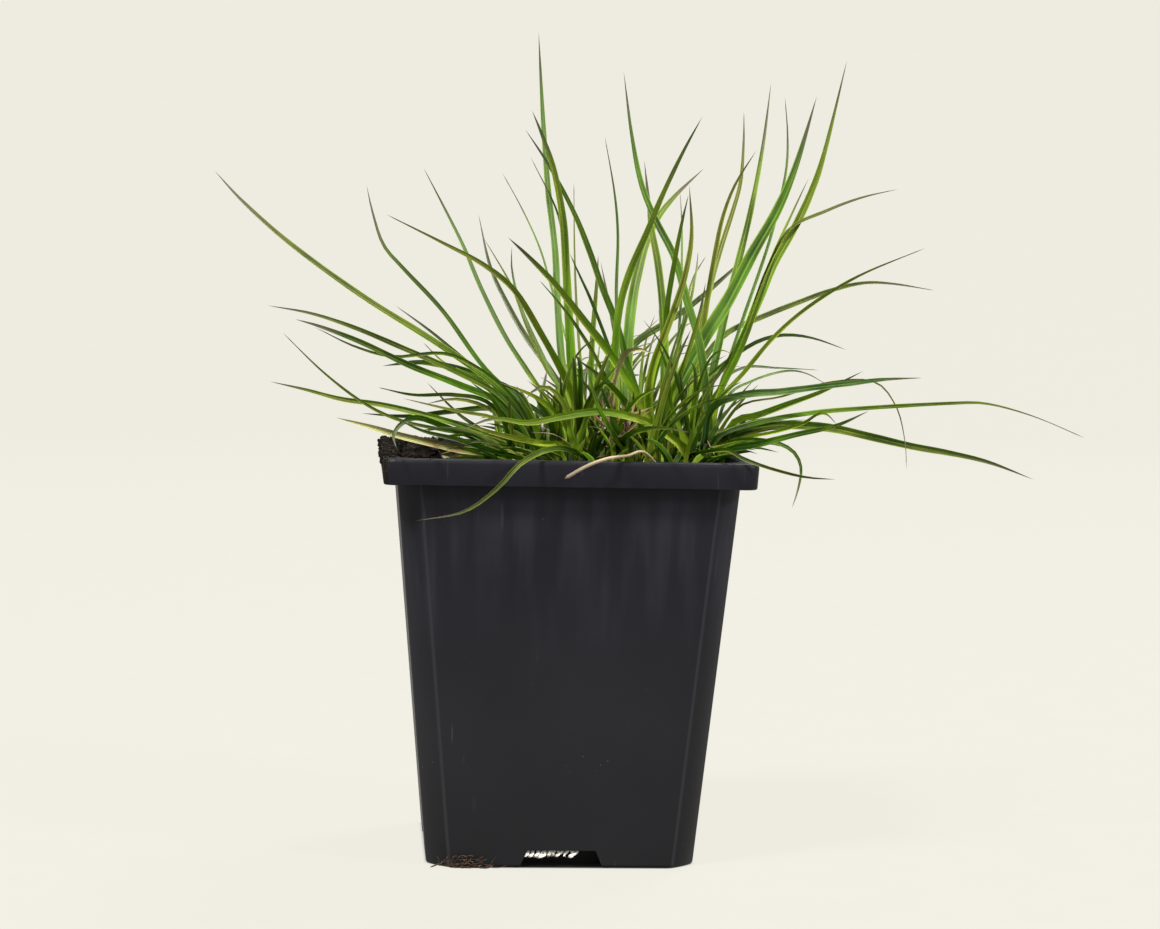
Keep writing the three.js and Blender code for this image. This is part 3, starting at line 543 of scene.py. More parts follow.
# The grass: a tuft of tillers. Each is a short stalk of sheaths rolled round each other, and leaves
# that leave it one above the other. Each row of the survey is a tiller's spot and its leaves: their
# width, tone, and the points (x, z) that their midribs pass, on the plane y = 0 or at a given depth.
SURVEY_EYE = np.array((-52.0, -748.0, 145.0))
TO_EYE = SURVEY_EYE / np.linalg.norm(SURVEY_EYE)
# Each tone is a lightness and a hue. The lightness is partly the leaf's own colour and partly painted light
# and shade: leaves that stand in the light get light tones, leaves in the shade of others dark ones.
TONES_AND_PAINTED_LIGHT = {
    "lime": (0.95, 0.46), "bright": (0.74, 0.48), "fresh": (0.54, 0.46), "gold": (0.85, 0.35),
    "olive": (0.54, 0.33), "green": (0.42, 0.56), "dull": (0.34, 0.36), "dark": (0.22, 0.48),
    "black": (0.06, 0.36), "blue": (0.32, 0.78), "pale": (0.72, 0.8), "silver": (0.92, 0.86),
    "brown": (0.3, 0.08), "vivid": (0.86, 0.54),
}
SURVEY = [
    [(3, -27),
     (1.8, "dull", (1, 100.4, -36), (-4, 99.8, -44), (-8, 97.8, -48.4), (-11, 95.4, -49.8),
      (-16, 89.7, -49.8), (-24, 84, -49.2), (-36, 81.6, -48.4)),
     (1.5, "bright", (2.6, 104, -29), (1.5, 110, -31), (-2, 115, -33), (-6, 115.6, -35), (-9, 112.5, -36))],
    [(30, -22),
     (1.9, "vivid", (27, 104.6), (20, 108.2), (10, 110), (1, 108.7), (-8, 106.8), (-17, 107.6),
      (-25, 104.6)),
     (1.4, "dull", (42, 100.8, -40), (46, 98.9, -45.5), (50.5, 97.2, -48.5), (56, 95.6, -50),
      (63, 94.1, -51), (70.5, 93.6, -52)),
     (1.2, "bright", (28, 112), (27, 120), (24, 128))],
    [(-12, -14),
     (1.6, "black", (-16, 99), (-25, 102), (-34, 104), (-41, 107)),
     (1.3, "dull", (-14, 106), (-17, 112), (-23, 117))],
    [(-13, 4),
     (1.4, "olive", (-22, 104.8), (-33, 108), (-45, 110.7), (-55, 111.9), (-64, 114.1), (-73, 116)),
     (1, "dull", (-30, 104.6), (-41, 107), (-50, 111.3), (-60, 118.8), (-70, 128.3)),
     (1.4, "dark", (-20, 102.5), (-29, 105.5), (-36, 107.6), (-40, 106), (-42, 103), (-41.2, 99.8))],
    [(-9, 11),
     (1.6, "black", (-16, 109.8), (-27, 109.4), (-38, 108), (-50, 108.4)),
     (1, "black", (-17, 103.5), (-24, 107.5), (-28, 110.8), (-33.7, 116.4)),
     (1.3, "olive", (-14, 107), (-20, 111), (-27, 112.4), (-34, 111))],
    [(-8, -4),
     (1.7, "dark", (-15, 111.2), (-26, 116), (-38, 120.5), (-50, 126), (-60, 129.7), (-67, 131.7)),
     (1.1, "black", (-18, 111.5), (-27, 113.5), (-37, 113.3), (-46, 115)),
     (1.2, "olive", (-16, 107.4), (-27, 109.5), (-40, 112.4))],
    [(-4, 8),
     (1.6, "dull", (-15, 113), (-27, 119.5), (-40, 125), (-52, 129.8), (-63, 133.2), (-74, 135)),
     (2, "dark", (-10, 113), (-20, 118), (-28, 120.6), (-36, 121.6), (-45, 120.4)),
     (1, "bright", (-18, 115.5), (-25, 119.2), (-30, 121.8), (-34.8, 126.4))],
    [(-3, 0),
     (2.2, "dull", (-15, 114.5), (-30, 125.3), (-50, 137.4), (-68, 150), (-80, 160.3), (-87.5, 168.3)),
     (1, "dull", (-14, 115), (-28, 123.5), (-42, 122.8), (-52, 125.2), (-62, 129.8)),
     (1.1, "black", (-12, 113), (-22, 120.5), (-33, 129.3), (-42, 135.6))],
    [(1, 14),
     (1.4, "dark", (-5, 109), (-12, 113.5), (-20, 121), (-30, 134.3), (-40, 144.7), (-45.2, 150.6),
      (-48, 158.5), (-49.7, 165.6)),
     (1.7, "silver", (-2.5, 110.5), (-8, 119), (-14, 128), (-20.3, 140), (-25, 150.5), (-30, 160),
      (-35.6, 170.2))],
    [(4, -14),
     (1.7, "gold", (4, 111), (0.5, 119.5), (-5, 129), (-12, 139.8), (-20, 146.2), (-30, 151.3),
      (-44.7, 158.3)),
     (1.7, "gold", (-6, 101.8), (-16, 103.8), (-27, 107.2)),
     (1.5, "lime", (1, 107), (-6, 113), (-16, 117))],
    [(3, 5),
     (1.9, "black", (2, 112), (-3, 120), (-9, 128), (-14, 136.5), (-18.5, 146), (-21.6, 158.8)),
     (1.2, "olive", (1, 113), (-4, 120.5), (-9, 131), (-13, 141), (-20.2, 152.9)),
     (1, "silver", (0, 114), (-3.5, 121), (-8, 130), (-11, 137), (-13, 145), (-13.1, 151))],
    [(6, -5),
     (1.8, "pale", (3, 112), (0.3, 121), (-1.2, 135), (-2.2, 150), (-4.2, 165), (-5.5, 179), (-6.5, 192),
      (-7.4, 204.6)),
     (2.4, "lime", (4.2, 112), (2.6, 120), (1.6, 133), (0.6, 146), (-0.5, 158), (-3, 170), (-6, 178.5),
      (-8.7, 185)),
     (1, "green", (3.6, 118), (2, 135), (0, 150), (-2, 160), (-8.9, 173.5))],
    [(8, 9),
     (1, "pale", (5, 115), (1, 128), (-3, 141), (-6, 150.5), (-10.5, 160), (-15.8, 169.2)),
     (0.9, "olive", (6, 113), (4, 130), (2.8, 148), (2.2, 167.3)),
     (1.8, "bright", (7.8, 112), (7.3, 119), (7.6, 130), (8.3, 141), (8.7, 149.3)),
     (2.3, "dark", (10, 115), (18, 126.5), (25, 131.5), (32, 136.5), (40, 143.6), (49, 152.2))],
    [(14, -7),
     (2.9, "lime", (13.2, 113), (13, 122), (14, 135), (16.5, 145), (20.5, 154.5), (24.5, 164.5),
      (29.5, 175.5), (34.2, 184.5)),
     (1.2, "dull", (12.5, 114), (9, 122.5), (4, 130.5), (-1, 137), (-6, 142.6)),
     (1, "pale", (14.5, 115), (14.2, 126), (13.5, 140), (13.6, 154), (12.5, 165), (9.7, 179))],
    [(18, 4),
     (3, "fresh", (17, 113), (16.5, 122), (17.2, 135), (19, 146), (22, 156), (27, 163.5), (35, 171.6)),
     (1, "pale", (15, 116), (12, 126), (7.4, 137.3), (4.3, 143.7), (1.4, 149.7)),
     (1.5, "black", (16.5, 112), (15, 121), (12.4, 134), (9.3, 147.7))],
    [(22, -3),
     (1.9, "green", (20, 112), (17, 121), (13.5, 132.5), (9.8, 141.3), (6.4, 150.5), (2.3, 160),
      (-4, 171.2), (-10.4, 180.4)),
     (1.6, "bright", (22.4, 114), (25.5, 128), (26.5, 138), (28, 148), (29.5, 157), (31.1, 164.7)),
     (2, "bright", (18, 110), (12, 117), (4, 123))],
    [(24, -13),
     (1.8, "lime", (22.4, 106.5), (18, 116), (12, 125), (5, 133.5), (-2, 141.8), (-9, 148.7),
      (-14.1, 153.2)),
     (1.8, "gold", (22, 112), (23, 121), (26.5, 131), (30.3, 142.5), (32.2, 154), (31.3, 167.3))],
    [(26, 7),
     (2.1, "fresh", (26, 113), (26, 122), (25.3, 135), (23.8, 147), (22, 156), (21.2, 162.5),
      (19.8, 173.2)),
     (0.9, "pale", (28, 114), (29.7, 135), (29.7, 155), (29, 165.5)),
     (1.1, "fresh", (28, 115), (30.4, 132), (32.5, 143), (35.9, 149.5)),
     (1, "fresh", (26.5, 116), (31.5, 135), (33.4, 145), (33.9, 150.6))],
    [(27, -6),
     (3.9, "green", (27, 108.5), (29.6, 116), (35.5, 127.5), (42, 138.5), (48, 150.5), (54, 161.5),
      (58.5, 173), (63.1, 190.3)),
     (1.5, "bright", (27.6, 112), (31, 122), (34.5, 134), (36, 143))],
    [(31, 12),
     (1.7, "dull", (31, 112), (34.5, 121), (41, 129.5), (50, 134.1), (60, 138.3), (68, 141.4), (76, 143.4),
      (84, 143.4), (94.5, 142)),
     (1.2, "dark", (31, 110), (36, 117.8), (45, 125.5), (51, 128.9), (57, 130.1), (64, 129.3),
      (72.4, 126.5))],
    [(32, -2),
     (2.3, "bright", (34.6, 108.5), (40.5, 116), (45, 127), (49.3, 137), (53.5, 148), (58, 156.5),
      (62, 165.5), (65.3, 176), (70.5, 199.4)),
     (1.1, "olive", (35, 112), (45, 128), (51.5, 146), (57, 156.6), (66, 161.4), (75, 165), (84.4, 167.4))],
    [(33, 4),
     (1.4, "olive", (32.5, 113), (34, 125), (36.8, 140), (39.5, 151), (42.5, 161), (44.3, 168.5),
      (44.8, 178), (44.7, 186)),
     (1.5, "gold", (33.5, 113), (35, 126), (36.6, 140), (38.3, 151.5), (40, 160), (43, 168),
      (48.2, 176.5))],
    [(36, 10),
     (1.8, "fresh", (37, 113), (39.4, 126), (42, 139), (45, 152), (47.5, 164), (49.7, 178), (51.4, 193.3)),
     (1, "pale", (40, 116), (46, 135), (52, 154), (55.5, 170), (55.9, 180), (55, 189.8)),
     (1.1, "bright", (39, 113), (46, 131), (53, 150), (57.5, 160.5), (61.6, 169.8))],
    [(37, -5),
     (1.8, "green", (37, 112), (34.7, 127), (31.2, 138), (27.8, 149), (23, 158), (19, 167.5), (16.3, 180),
      (14.1, 195.4)),
     (1.6, "lime", (39.5, 113.5), (45, 126), (49.3, 138), (53.8, 150.6)),
     (1.5, "gold", (39, 111.5), (46, 120.2), (53, 128.8), (60, 135.5), (68, 141.3), (77, 146.4),
      (91.8, 152.7))],
    [(33, -15),
     (1.9, "blue", (38, 111), (46, 114.7), (56, 115.7), (66, 117.1), (74, 118.1), (82, 119.2), (92, 119.8)),
     (1.8, "dull", (42, 104.9), (52, 108), (64, 110.3), (76, 111.6), (88, 112.6), (100, 113.4),
      (107, 113.6), (114, 112.4), (123, 109.7), (134.4, 105.1))],
    [(37, -11),
     (1.8, "bright", (44, 108), (50, 109.8), (58, 112.8), (66, 115.9), (76.8, 121.3)),
     (1.9, "dull", (44, 104.7), (52, 107), (61, 107.3), (70, 106.5), (80, 104.4), (90, 102.3), (100, 100.7),
      (110, 98.5), (121.5, 94.3)),
     (0.9, "gold", (46, 103.6), (55, 105.6), (61.5, 107.7), (65, 109.9), (67.6, 110.1), (70.2, 107.7))],
    [(38, 3),
     (1.1, "dark", (40, 116), (46, 121.5), (55, 121.6), (65.3, 121.3)),
     (1.1, "dark", (42, 113.7), (48.5, 118.2), (56.5, 120.8), (62, 120.4), (67.8, 117.5)),
     (0.8, "brown", (45, 111.5), (56, 114.4), (68, 118.2), (79.5, 118.6), (85.3, 112.5), (87.8, 104),
      (88.5, 96.5))],
    [(37, -20),
     (1.9, "dark", (43, 100.9), (50, 102.2), (60, 104.8), (70, 107.2), (78.5, 111.2)),
     (1.5, "dark", (44, 103), (53, 103.2), (59, 100.8), (61.4, 96.5), (60.8, 91), (59.3, 86))],
    [(13, -20),
     (1.6, "fresh", (11.5, 107), (9, 112), (7, 119)),
     (1.5, "lime", (15, 107), (19, 113), (26, 117)),
     (1.3, "dull", (17, 104), (24, 106), (33, 105))],
]
DRY_LEAVES = [
    [(-17, -9),
     (1.9, (1.0, 1.0), (-22, 99.4, -9), (-30, 100.9, -10), (-40, 103, -11), (-48, 105.2, -12),
      (-56.5, 107.3, -13))],
    [(12, -12),
     (1.4, (0.8, 0.9), (12.5, 107), (13.5, 118), (16, 124.6), (19.5, 125.8), (23, 124.7))],
    [(-22, 14),
     (1.3, (0.3, 0.7), (-27, 97.6, 18), (-31, 98.6, 24), (-33, 96.5, 30))],
]
STRAW_SPOT = (25, -32)
STRAW_ROUTE = [(22, 99.4, -37), (17, 98.8, -43.4), (12, 98, -47.4), (7, 96.1, -48.6), (1.2, 92.7, -49)]
STRAW_RADIUS = 0.55
STRAW_RUNS = 9

# The surveyed grass hides what stands behind this outline: leaves grown by rule stay below it.
HIDDEN_FROM = 97.5
HIDDEN = [
    (-200, 90), (-50, 103), (-38, 108), (-25, 111), (-14, 114), (-6, 118), (6, 128), (14, 134), (24, 136),
    (34, 134), (42, 126), (50, 117), (60, 111), (76, 104), (200, 90),
]
ROOTED = 8.0
STALK_RADIUS = 1.35
STALK_HEIGHT = 11.0
SHORTEST_STALK = 5.5
STALK_LEAN = 2.6
STALK_RUNS = 6
BLADE_THICKNESS = 0.66
LEAF_LENGTH = (84, 128)
LOW_LEAF = 103
LEAN = (0.12, 0.6)
TURN = 0.75
CLEARANCE = 0.42
NEAR = 3
SAMPLE_STEP = 1.0
SHEATH = 7
PARTING = 16
TRIES = 90
SHEATH_FOOT = 0.45
SHEATH_NECK = 0.88
MORE_TILLERS = 13
SPOT_TRIES = 400
LEAF_TRIES = 5
FEWEST_LEAVES = 3
CROWN_REACH = (31, 27)
SPACING = 5
SHORT_LEAF = (18, 40)
LONG_LEAF = (45, 105)
KNOTS = 5

# The same repeatable draws as the solids have, so that every leaf lies where its solid does.
draw = SimpleNamespace(seed=11)


def chance():
    draw.seed = (draw.seed * 1664525 + 1013904223) % 4294967296
    return draw.seed / 4294967296


def mix(a, b, t):
    return (1 - t) * a + t * b


def between(low, high):
    return mix(low, high, chance())


def along(line, s):
    """Points of the smooth line through some knots, at shares s of its length."""
    s = np.atleast_1d(np.asarray(s, float)) * (len(line) - 1)
    k = np.minimum(s.astype(int), len(line) - 2)
    w = (s - k)[:, None]
    ends = np.vstack([2 * line[0] - line[1], line, 2 * line[-1] - line[-2]])
    before, start, end, after = ends[k], ends[k + 1], ends[k + 2], ends[k + 3]
    leave, arrive = (end - before) / 2, (after - start) / 2
    bend = (3 * end - 3 * start - 2 * leave - arrive) * w ** 2
    return start + leave * w + bend + (2 * start - 2 * end + leave + arrive) * w ** 3


def blade_width(width, s):
    taper = np.minimum(1, 0.65 + 1.4 * s) * (1 - s ** 2.2)
    return np.maximum(width * taper, BLADE_THICKNESS)


def stalk_radius(s):
    return STALK_RADIUS * (1.08 - 0.35 * np.clip((s - 0.4) / 0.6, 0, 1))


def blade_runs(line):
    """How many straight runs the solid's blade has: more where it is long or bent."""
    steps = np.diff(along(line, np.arange(17) / 16), axis=0)
    lengths = np.linalg.norm(steps, axis=1)
    cosines = (steps[1:] * steps[:-1]).sum(1) / (lengths[1:] * lengths[:-1])
    bend = np.arccos(np.clip(cosines, -1, 1)).sum()
    return int(np.clip(math.floor(lengths.sum() / 19 + 1.9 * bend + 0.5), 3, 10))


def probe(line, runs, radius_at):
    """Points along the solid's straight runs, [x, y, z, radius]."""
    corners = along(line, np.arange(runs + 1) / runs)
    points = []
    for k in range(runs):
        count = math.ceil(np.linalg.norm(corners[k + 1] - corners[k]) / SAMPLE_STEP)
        share = np.arange(count) / count
        places = corners[k] + share[:, None] * (corners[k + 1] - corners[k])
        points.append(np.column_stack([places, radius_at((k + share) / runs)]))
    return np.vstack(points)


# Every stalk and leaf that stands already, which the next ones keep clear of.
placed = []


def keep(probes, owner):
    places = probes[:, :3]
    placed.append(SimpleNamespace(probes=probes, owner=owner, low=places.min(0), high=places.max(0)))


def clears_pot(probes):
    x, y, z, radius = probes.T
    out = np.maximum(abs(x), abs(y))
    reach = radius + CLEARANCE
    over_rim = (out > body_half(POT_HEIGHT) - WALL - reach) & (out < RIM_HALF + reach)
    low = (over_rim & (z < POT_HEIGHT + reach)) | ((out <= RIM_HALF) & (z <= soil_top(x, y) + reach))
    return not low.any()


def clears_others(probes, owner, siblings):
    low = probes[:, :3].min(0) - NEAR
    high = probes[:, :3].max(0) + NEAR
    for other in placed:
        own = other.owner is owner
        if (own and not siblings) or (other.low > high).any() or (other.high < low).any():
            continue
        start = PARTING if own else 0
        here, there = probes[start:], other.probes[start:]
        gap = ((here[:, None, :3] - there[None, :, :3]) ** 2).sum(2)
        if (gap <= (here[:, None, 3] + there[None, :, 3] + CLEARANCE) ** 2).any():
            return False
    return True


def sight(x, z, y):
    """From a surveyed point to its place at depth y."""
    t = (y - SURVEY_EYE[1]) / (0 - SURVEY_EYE[1])
    return np.array((mix(SURVEY_EYE[0], x, t), y, mix(SURVEY_EYE[2], z, t)))


def try_leaf(tiller, knots, leaf, siblings, hidden=False):
    """The leaf laid along its knots, if it stands clear of the pot, the soil and the other leaves."""
    line = np.vstack([along(tiller.stalk, [SHEATH_FOOT, SHEATH_NECK]), knots])
    width = leaf.seen / math.cos(leaf.turn)
    probes = probe(line, blade_runs(line), lambda s: blade_width(width, s) / 2)
    free = probes[SHEATH:]
    if hidden and not is_hidden(free):
        return None
    if not clears_pot(free) or not clears_others(probes, tiller, siblings):
        return None
    leaf.line = line
    leaf.width = width
    leaf.probes = probes
    return leaf


def surveyed_leaf(tiller, seen, tone, *points):
    """A leaf through surveyed points, leant to the front or the back by the length that doesn't show."""
    neck = along(tiller.stalk, SHEATH_NECK)[0]
    shown = math.hypot(points[-1][0] - neck[0], points[-1][1] - neck[2])
    whole = between(*LEAF_LENGTH)
    spare = math.sqrt(max(0, whole ** 2 - shown ** 2)) + 0.12 * shown
    lowest = min(point[1] for point in points)
    way = 1 if neck[1] > CROWN[1] and lowest > LOW_LEAF else -1
    wanted = way * spare * between(*LEAN)
    leaf = SimpleNamespace(seen=seen, turn=between(-TURN, TURN), face=TO_EYE, tone=TONES_AND_PAINTED_LIGHT.get(tone, tone))
    for attempt in range(TRIES):
        loose = attempt / TRIES
        lean = wanted * (1 - loose) + between(-0.6, 0.6) * spare * loose
        bulge = between(-9, 9) * loose
        knots = []
        for i, (x, z, *depth) in enumerate(points):
            s = (i + 1) / len(points)
            y = depth[0] if depth else neck[1] + lean * s ** 1.5 + bulge * math.sin(math.pi * s)
            knots.append(sight(x, z, y))
        grown = try_leaf(tiller, knots, leaf, loose < 0.6)
        if grown:
            return grown


def is_hidden(probes):
    t = (0 - SURVEY_EYE[1]) / (probes[:, 1] - SURVEY_EYE[1])
    x, z = mix(SURVEY_EYE[0], probes[:, 0], t), mix(SURVEY_EYE[2], probes[:, 2], t)
    return ((z > HIDDEN_FROM) & (z < np.interp(x, *zip(*HIDDEN)))).all()


def inward(way):
    """The face of a leaf that grows a way: up, and back to its stalk."""
    return np.array((-0.8 * math.cos(way), -0.8 * math.sin(way), 0.6))


def climb(knots, step, slope, way):
    flat = step * math.cos(slope)
    knots.append(knots[-1] + np.array((flat * math.cos(way), flat * math.sin(way), step * math.sin(slope))))


def arch(knots, step, rise, fall, way, sway):
    """Adds the knots of a leaf that climbs less and less and turns aside."""
    for i in range(KNOTS):
        s = (i + 0.5) / KNOTS
        climb(knots, step, mix(rise, fall, s), way + sway * s)


def ruled_leaf(tiller, lengths, flattest):
    """A leaf that arches away from the middle of the tuft, behind the surveyed ones."""
    x, y = tiller.spot
    outwards = math.atan2(y - CROWN[1], x - CROWN[0])
    for attempt in range(TRIES):
        loose = attempt / TRIES
        step = between(*lengths) * (1 - 0.5 * loose) / KNOTS
        way = outwards + between(-0.6, 0.6) * (1 + 2 * loose)
        sway = between(-0.5, 0.5)
        rise = between(1.05, 1.45)
        fall = between(0.8, flattest)
        leaf = SimpleNamespace(seen=between(1.2, 1.9), turn=between(-0.5, 0.5), face=inward(way), tone=None)
        knots = [along(tiller.stalk, SHEATH_NECK)[0]]
        arch(knots, step, rise, fall, way, sway)
        grown = try_leaf(tiller, knots[1:], leaf, loose < 0.5, hidden=True)
        if grown:
            return grown


def plant_tiller(name, spot, height, lean):
    x, y = spot
    ground = soil_top(x, y)
    neck = (x + lean[0], y + lean[1], ground + height)
    stalk = np.array([(x, y, ground - ROOTED), (x, y, ground + 0.4), neck])
    tiller = SimpleNamespace(name=name, spot=spot, stalk=stalk, leaves=[])
    probes = probe(stalk, STALK_RUNS, stalk_radius)
    keep(probes[probes[:, 2] > ground], tiller)
    return tiller


def plant_surveyed(name, spot, *leaves):
    middle = sum(leaf[2][0] for leaf in leaves) / len(leaves)
    lowest = min(leaf[2][1] for leaf in leaves)
    height = min(max(lowest - soil_top(*spot) + 1.5, SHORTEST_STALK), STALK_HEIGHT)
    lean = (min(max(0.3 * (middle - spot[0]), -STALK_LEAN), STALK_LEAN), 0.03 * spot[1])
    return plant_tiller(name, spot, height, lean)


def grow(tiller, leaf):
    if leaf:
        keep(leaf.probes, tiller)
        tiller.leaves.append(leaf)


tillers = [plant_surveyed(f"tiller_{i + 1:02}", *row) for i, row in enumerate(SURVEY)]
dry = [plant_surveyed(f"dry_leaf_{i + 1}", *row) for i, row in enumerate(DRY_LEAVES)]
ground = soil_top(*STRAW_SPOT)
straw = [(*STRAW_SPOT, ground - ROOTED), (*STRAW_SPOT, ground + 0.5)]
straw = np.array(straw + [sight(*point) for point in STRAW_ROUTE])
keep(probe(straw, STRAW_RUNS, lambda s: STRAW_RADIUS + 0 * s), straw)
for tiller, (spot, *leaves) in zip(dry + tillers, DRY_LEAVES + SURVEY):
    for leaf in leaves:
        grow(tiller, surveyed_leaf(tiller, *leaf))
for tiller in tillers:
    grow(tiller, ruled_leaf(tiller, SHORT_LEAF, 0.2))
for attempt in range(SPOT_TRIES):
    if len(tillers) == len(SURVEY) + MORE_TILLERS:
        break
    angle = between(0, 2 * math.pi)
    share = math.sqrt(chance())
    height = between(7, STALK_HEIGHT)
    out, aside = share * math.cos(angle), share * math.sin(angle)
    spot = (CROWN[0] + CROWN_REACH[0] * out, CROWN[1] + CROWN_REACH[1] * aside)
    if all(math.dist(spot, tiller.spot) >= SPACING for tiller in tillers + dry):
        tiller = plant_tiller(f"tiller_{len(tillers) + 1:02}", spot, height, (2.4 * out, 2.4 * aside))
        for number in range(LEAF_TRIES):
            grow(tiller, ruled_leaf(tiller, LONG_LEAF, -0.2))
        if len(tiller.leaves) >= FEWEST_LEAVES:
            tillers.append(tiller)
        else:
            placed[:] = [other for other in placed if other.owner is not tiller]

# The leaves: thin blades with a keel under the midrib and fine ribs along them. A blade is folded to a
# shallow V, and its foot is a sheath rolled round the stalk, which opens where the blade leaves it.
# The skins are swept as closed shells of millimetre rings.
ROW_LENGTH = 2.6
BLADE_COLUMNS = 6
WIDE_COLUMNS = 10
WIDE_BLADE = 2.3
FOLDS = (0.35, 0.8)
BLADE_DEPTH = 0.17
RIB_DEPTH = 0.16
TIP_WIDTH = 0.22
FULLNESS = 6
USUAL_BREADTH = 1.06
USUAL_NARROWING = 0.32
SHEATH_WRAP = 2.5
SHEATH_STEP = 0.1
STALK_CORE = 0.55
CREASE = math.radians(50)
hand = random.Random(21)


def rows_along(line, step):
    """Shares of a smooth line that lie evenly along it, and the line's length."""
    fine = np.linspace(0, 1, 241)
    run = np.concatenate([[0], np.cumsum(np.linalg.norm(np.diff(along(line, fine), axis=0), axis=1))])
    count = max(8, round(run[-1] / step))
    return np.interp(np.linspace(0, run[-1], count + 1), run, fine), run[-1]


def unit(vectors):
    return vectors / np.linalg.norm(vectors, axis=-1, keepdims=True)


def frames(line, stops, face, turns):
    """The places, sides and faces of a blade's rows."""
    places = along(line, stops)
    tangents = unit(along(line, np.minimum(stops + 1e-4, 1)) - along(line, np.maximum(stops - 1e-4, 0)))
    sides = unit(np.cross(tangents, face))
    for smoothing in range(3):
        sides[1:-1] = sides[:-2] / 4 + sides[1:-1] / 2 + sides[2:] / 4
        sides = unit(sides - (sides * tangents).sum(1, keepdims=True) * tangents)
    sides = sides * np.cos(turns)[:, None] + np.cross(tangents, sides) * np.sin(turns)[:, None]
    return places, sides, np.cross(sides, tangents)


def skin(bm, rings, tint, tip=1.0):
    """A closed skin over rings of points, with its place round and along it and its tint as UV maps."""
    rows, columns = rings.shape[:2]
    blade_map = bm.loops.layers.uv.get("blade") or bm.loops.layers.uv.new("blade")
    tint_map = bm.loops.layers.uv.get("tint") or bm.loops.layers.uv.new("tint")
    made = bmesh.ops.create_grid(bm, x_segments=columns - 1, y_segments=rows - 1, size=0.5)["verts"]
    for number, (v, place) in enumerate(zip(made, rings.reshape(-1, 3) * MM)):
        v.co = place
        row, column = divmod(number, columns)
        for loop in v.link_loops:
            loop[blade_map].uv = (column / (columns - 1), tip * row / (rows - 1))
            loop[tint_map].uv = tint


def stalk_rings(tiller):
    return tube_rings(tiller.stalk, lambda s: STALK_CORE + 0.3 * (1 - s), 1.2)


def blade_rings(leaf, order=None, count=0, breadth=USUAL_BREADTH, narrowing=USUAL_NARROWING):
    """The rings of a leaf. Its order from the outside in, among a tiller's count, gives its sheath."""
    stops, length = rows_along(leaf.line, ROW_LENGTH)
    run = np.linspace(0, length, len(stops))
    opened = 1 + 0 * run
    radius = opened
    if order is not None:
        open_from = length_to(leaf.line, 1 / (len(leaf.line) - 1)) - 1.5 + 0.9 * order
        opened = np.clip((run - open_from) / (6 + 0.3 * order), 0, 1)
        opened = opened * opened * (3 - 2 * opened)
        radius = STALK_CORE + SHEATH_STEP * (count - order) + 0.2 * (1 - stops)
    sway = hand.uniform(-0.7, 0.7)
    turns = leaf.turn + sway * stops ** 2 + 0.18 * np.sin(stops * hand.uniform(4, 11) + hand.uniform(0, 6))
    turns = np.tanh(turns)
    places, sides, fronts = frames(leaf.line, stops, leaf.face, turns)
    taper = np.minimum(1, 0.65 + 1.4 * stops) * (1 - stops ** FULLNESS) * (1 - narrowing * stops)
    waves = 1 + 0.03 * np.sin(run * hand.uniform(0.3, 0.6) + hand.uniform(0, 6))
    shown = breadth * leaf.width * math.cos(leaf.turn) / np.cos(turns)
    half = np.maximum(shown * taper * waves, TIP_WIDTH) / 2
    half = half * opened + radius * SHEATH_WRAP * (1 - opened)
    bend = (1 - opened) / radius + opened * 0.12 / half
    columns = WIDE_COLUMNS if leaf.width > WIDE_BLADE else BLADE_COLUMNS
    c = np.arange(2 * columns + 1) / columns
    a = np.where(c <= 1, 2 * c - 1, 3 - 2 * c)
    below = (c > 1) & (c < 2)
    angle = bend[:, None] * half[:, None] * a
    across = np.sin(angle) / bend[:, None]
    back = (1 - np.cos(angle)) / bend[:, None]
    fold = (opened * hand.uniform(*FOLDS) * half)[:, None] * (np.sqrt(a * a + 0.01) - 0.5)
    depth = BLADE_DEPTH * (1 - abs(a) ** 3) + opened[:, None] * RIB_DEPTH * np.exp(-(a / 0.16) ** 2)
    depth = below * depth * np.minimum(1, half / 0.5)[:, None]
    back = back + fold - depth * np.cos(angle) - (radius * (1 - opened))[:, None]
    across = across + depth * np.sin(angle)
    rings = places[:, None] + across[..., None] * sides[:, None] + back[..., None] * fronts[:, None]
    rings[0] = rings[0].mean(0)
    rings[-1] = places[-1]
    return rings


def length_to(line, share):
    points = along(line, np.linspace(0, share, 21))
    return np.linalg.norm(np.diff(points, axis=0), axis=1).sum()


def tube_rings(line, radius_at, step, columns=12):
    stops, length = rows_along(line, step)
    places, sides, fronts = frames(line, stops, TO_EYE, 0 * stops)
    angle = np.linspace(0, 2 * np.pi, columns + 1)
    radius = radius_at(stops)[:, None, None]
    across = np.cos(angle)[:, None] * sides[:, None]
    outwards = np.sin(angle)[:, None] * fronts[:, None]
    rings = places[:, None] + radius * (across + outwards)
    rings[0] = places[0]
    rings[-1] = places[-1]
    return rings


def close(bm):
    """Welds the skins of a bmesh, turns them outwards and shades them smooth between creases."""
    bmesh.ops.remove_doubles(bm, verts=bm.verts, dist=0.004 * MM)
    bmesh.ops.recalc_face_normals(bm, faces=bm.faces)
    for face in bm.faces:
        face.smooth = True
    for e in bm.edges:
        e.smooth = e.calc_face_angle(0) < CREASE


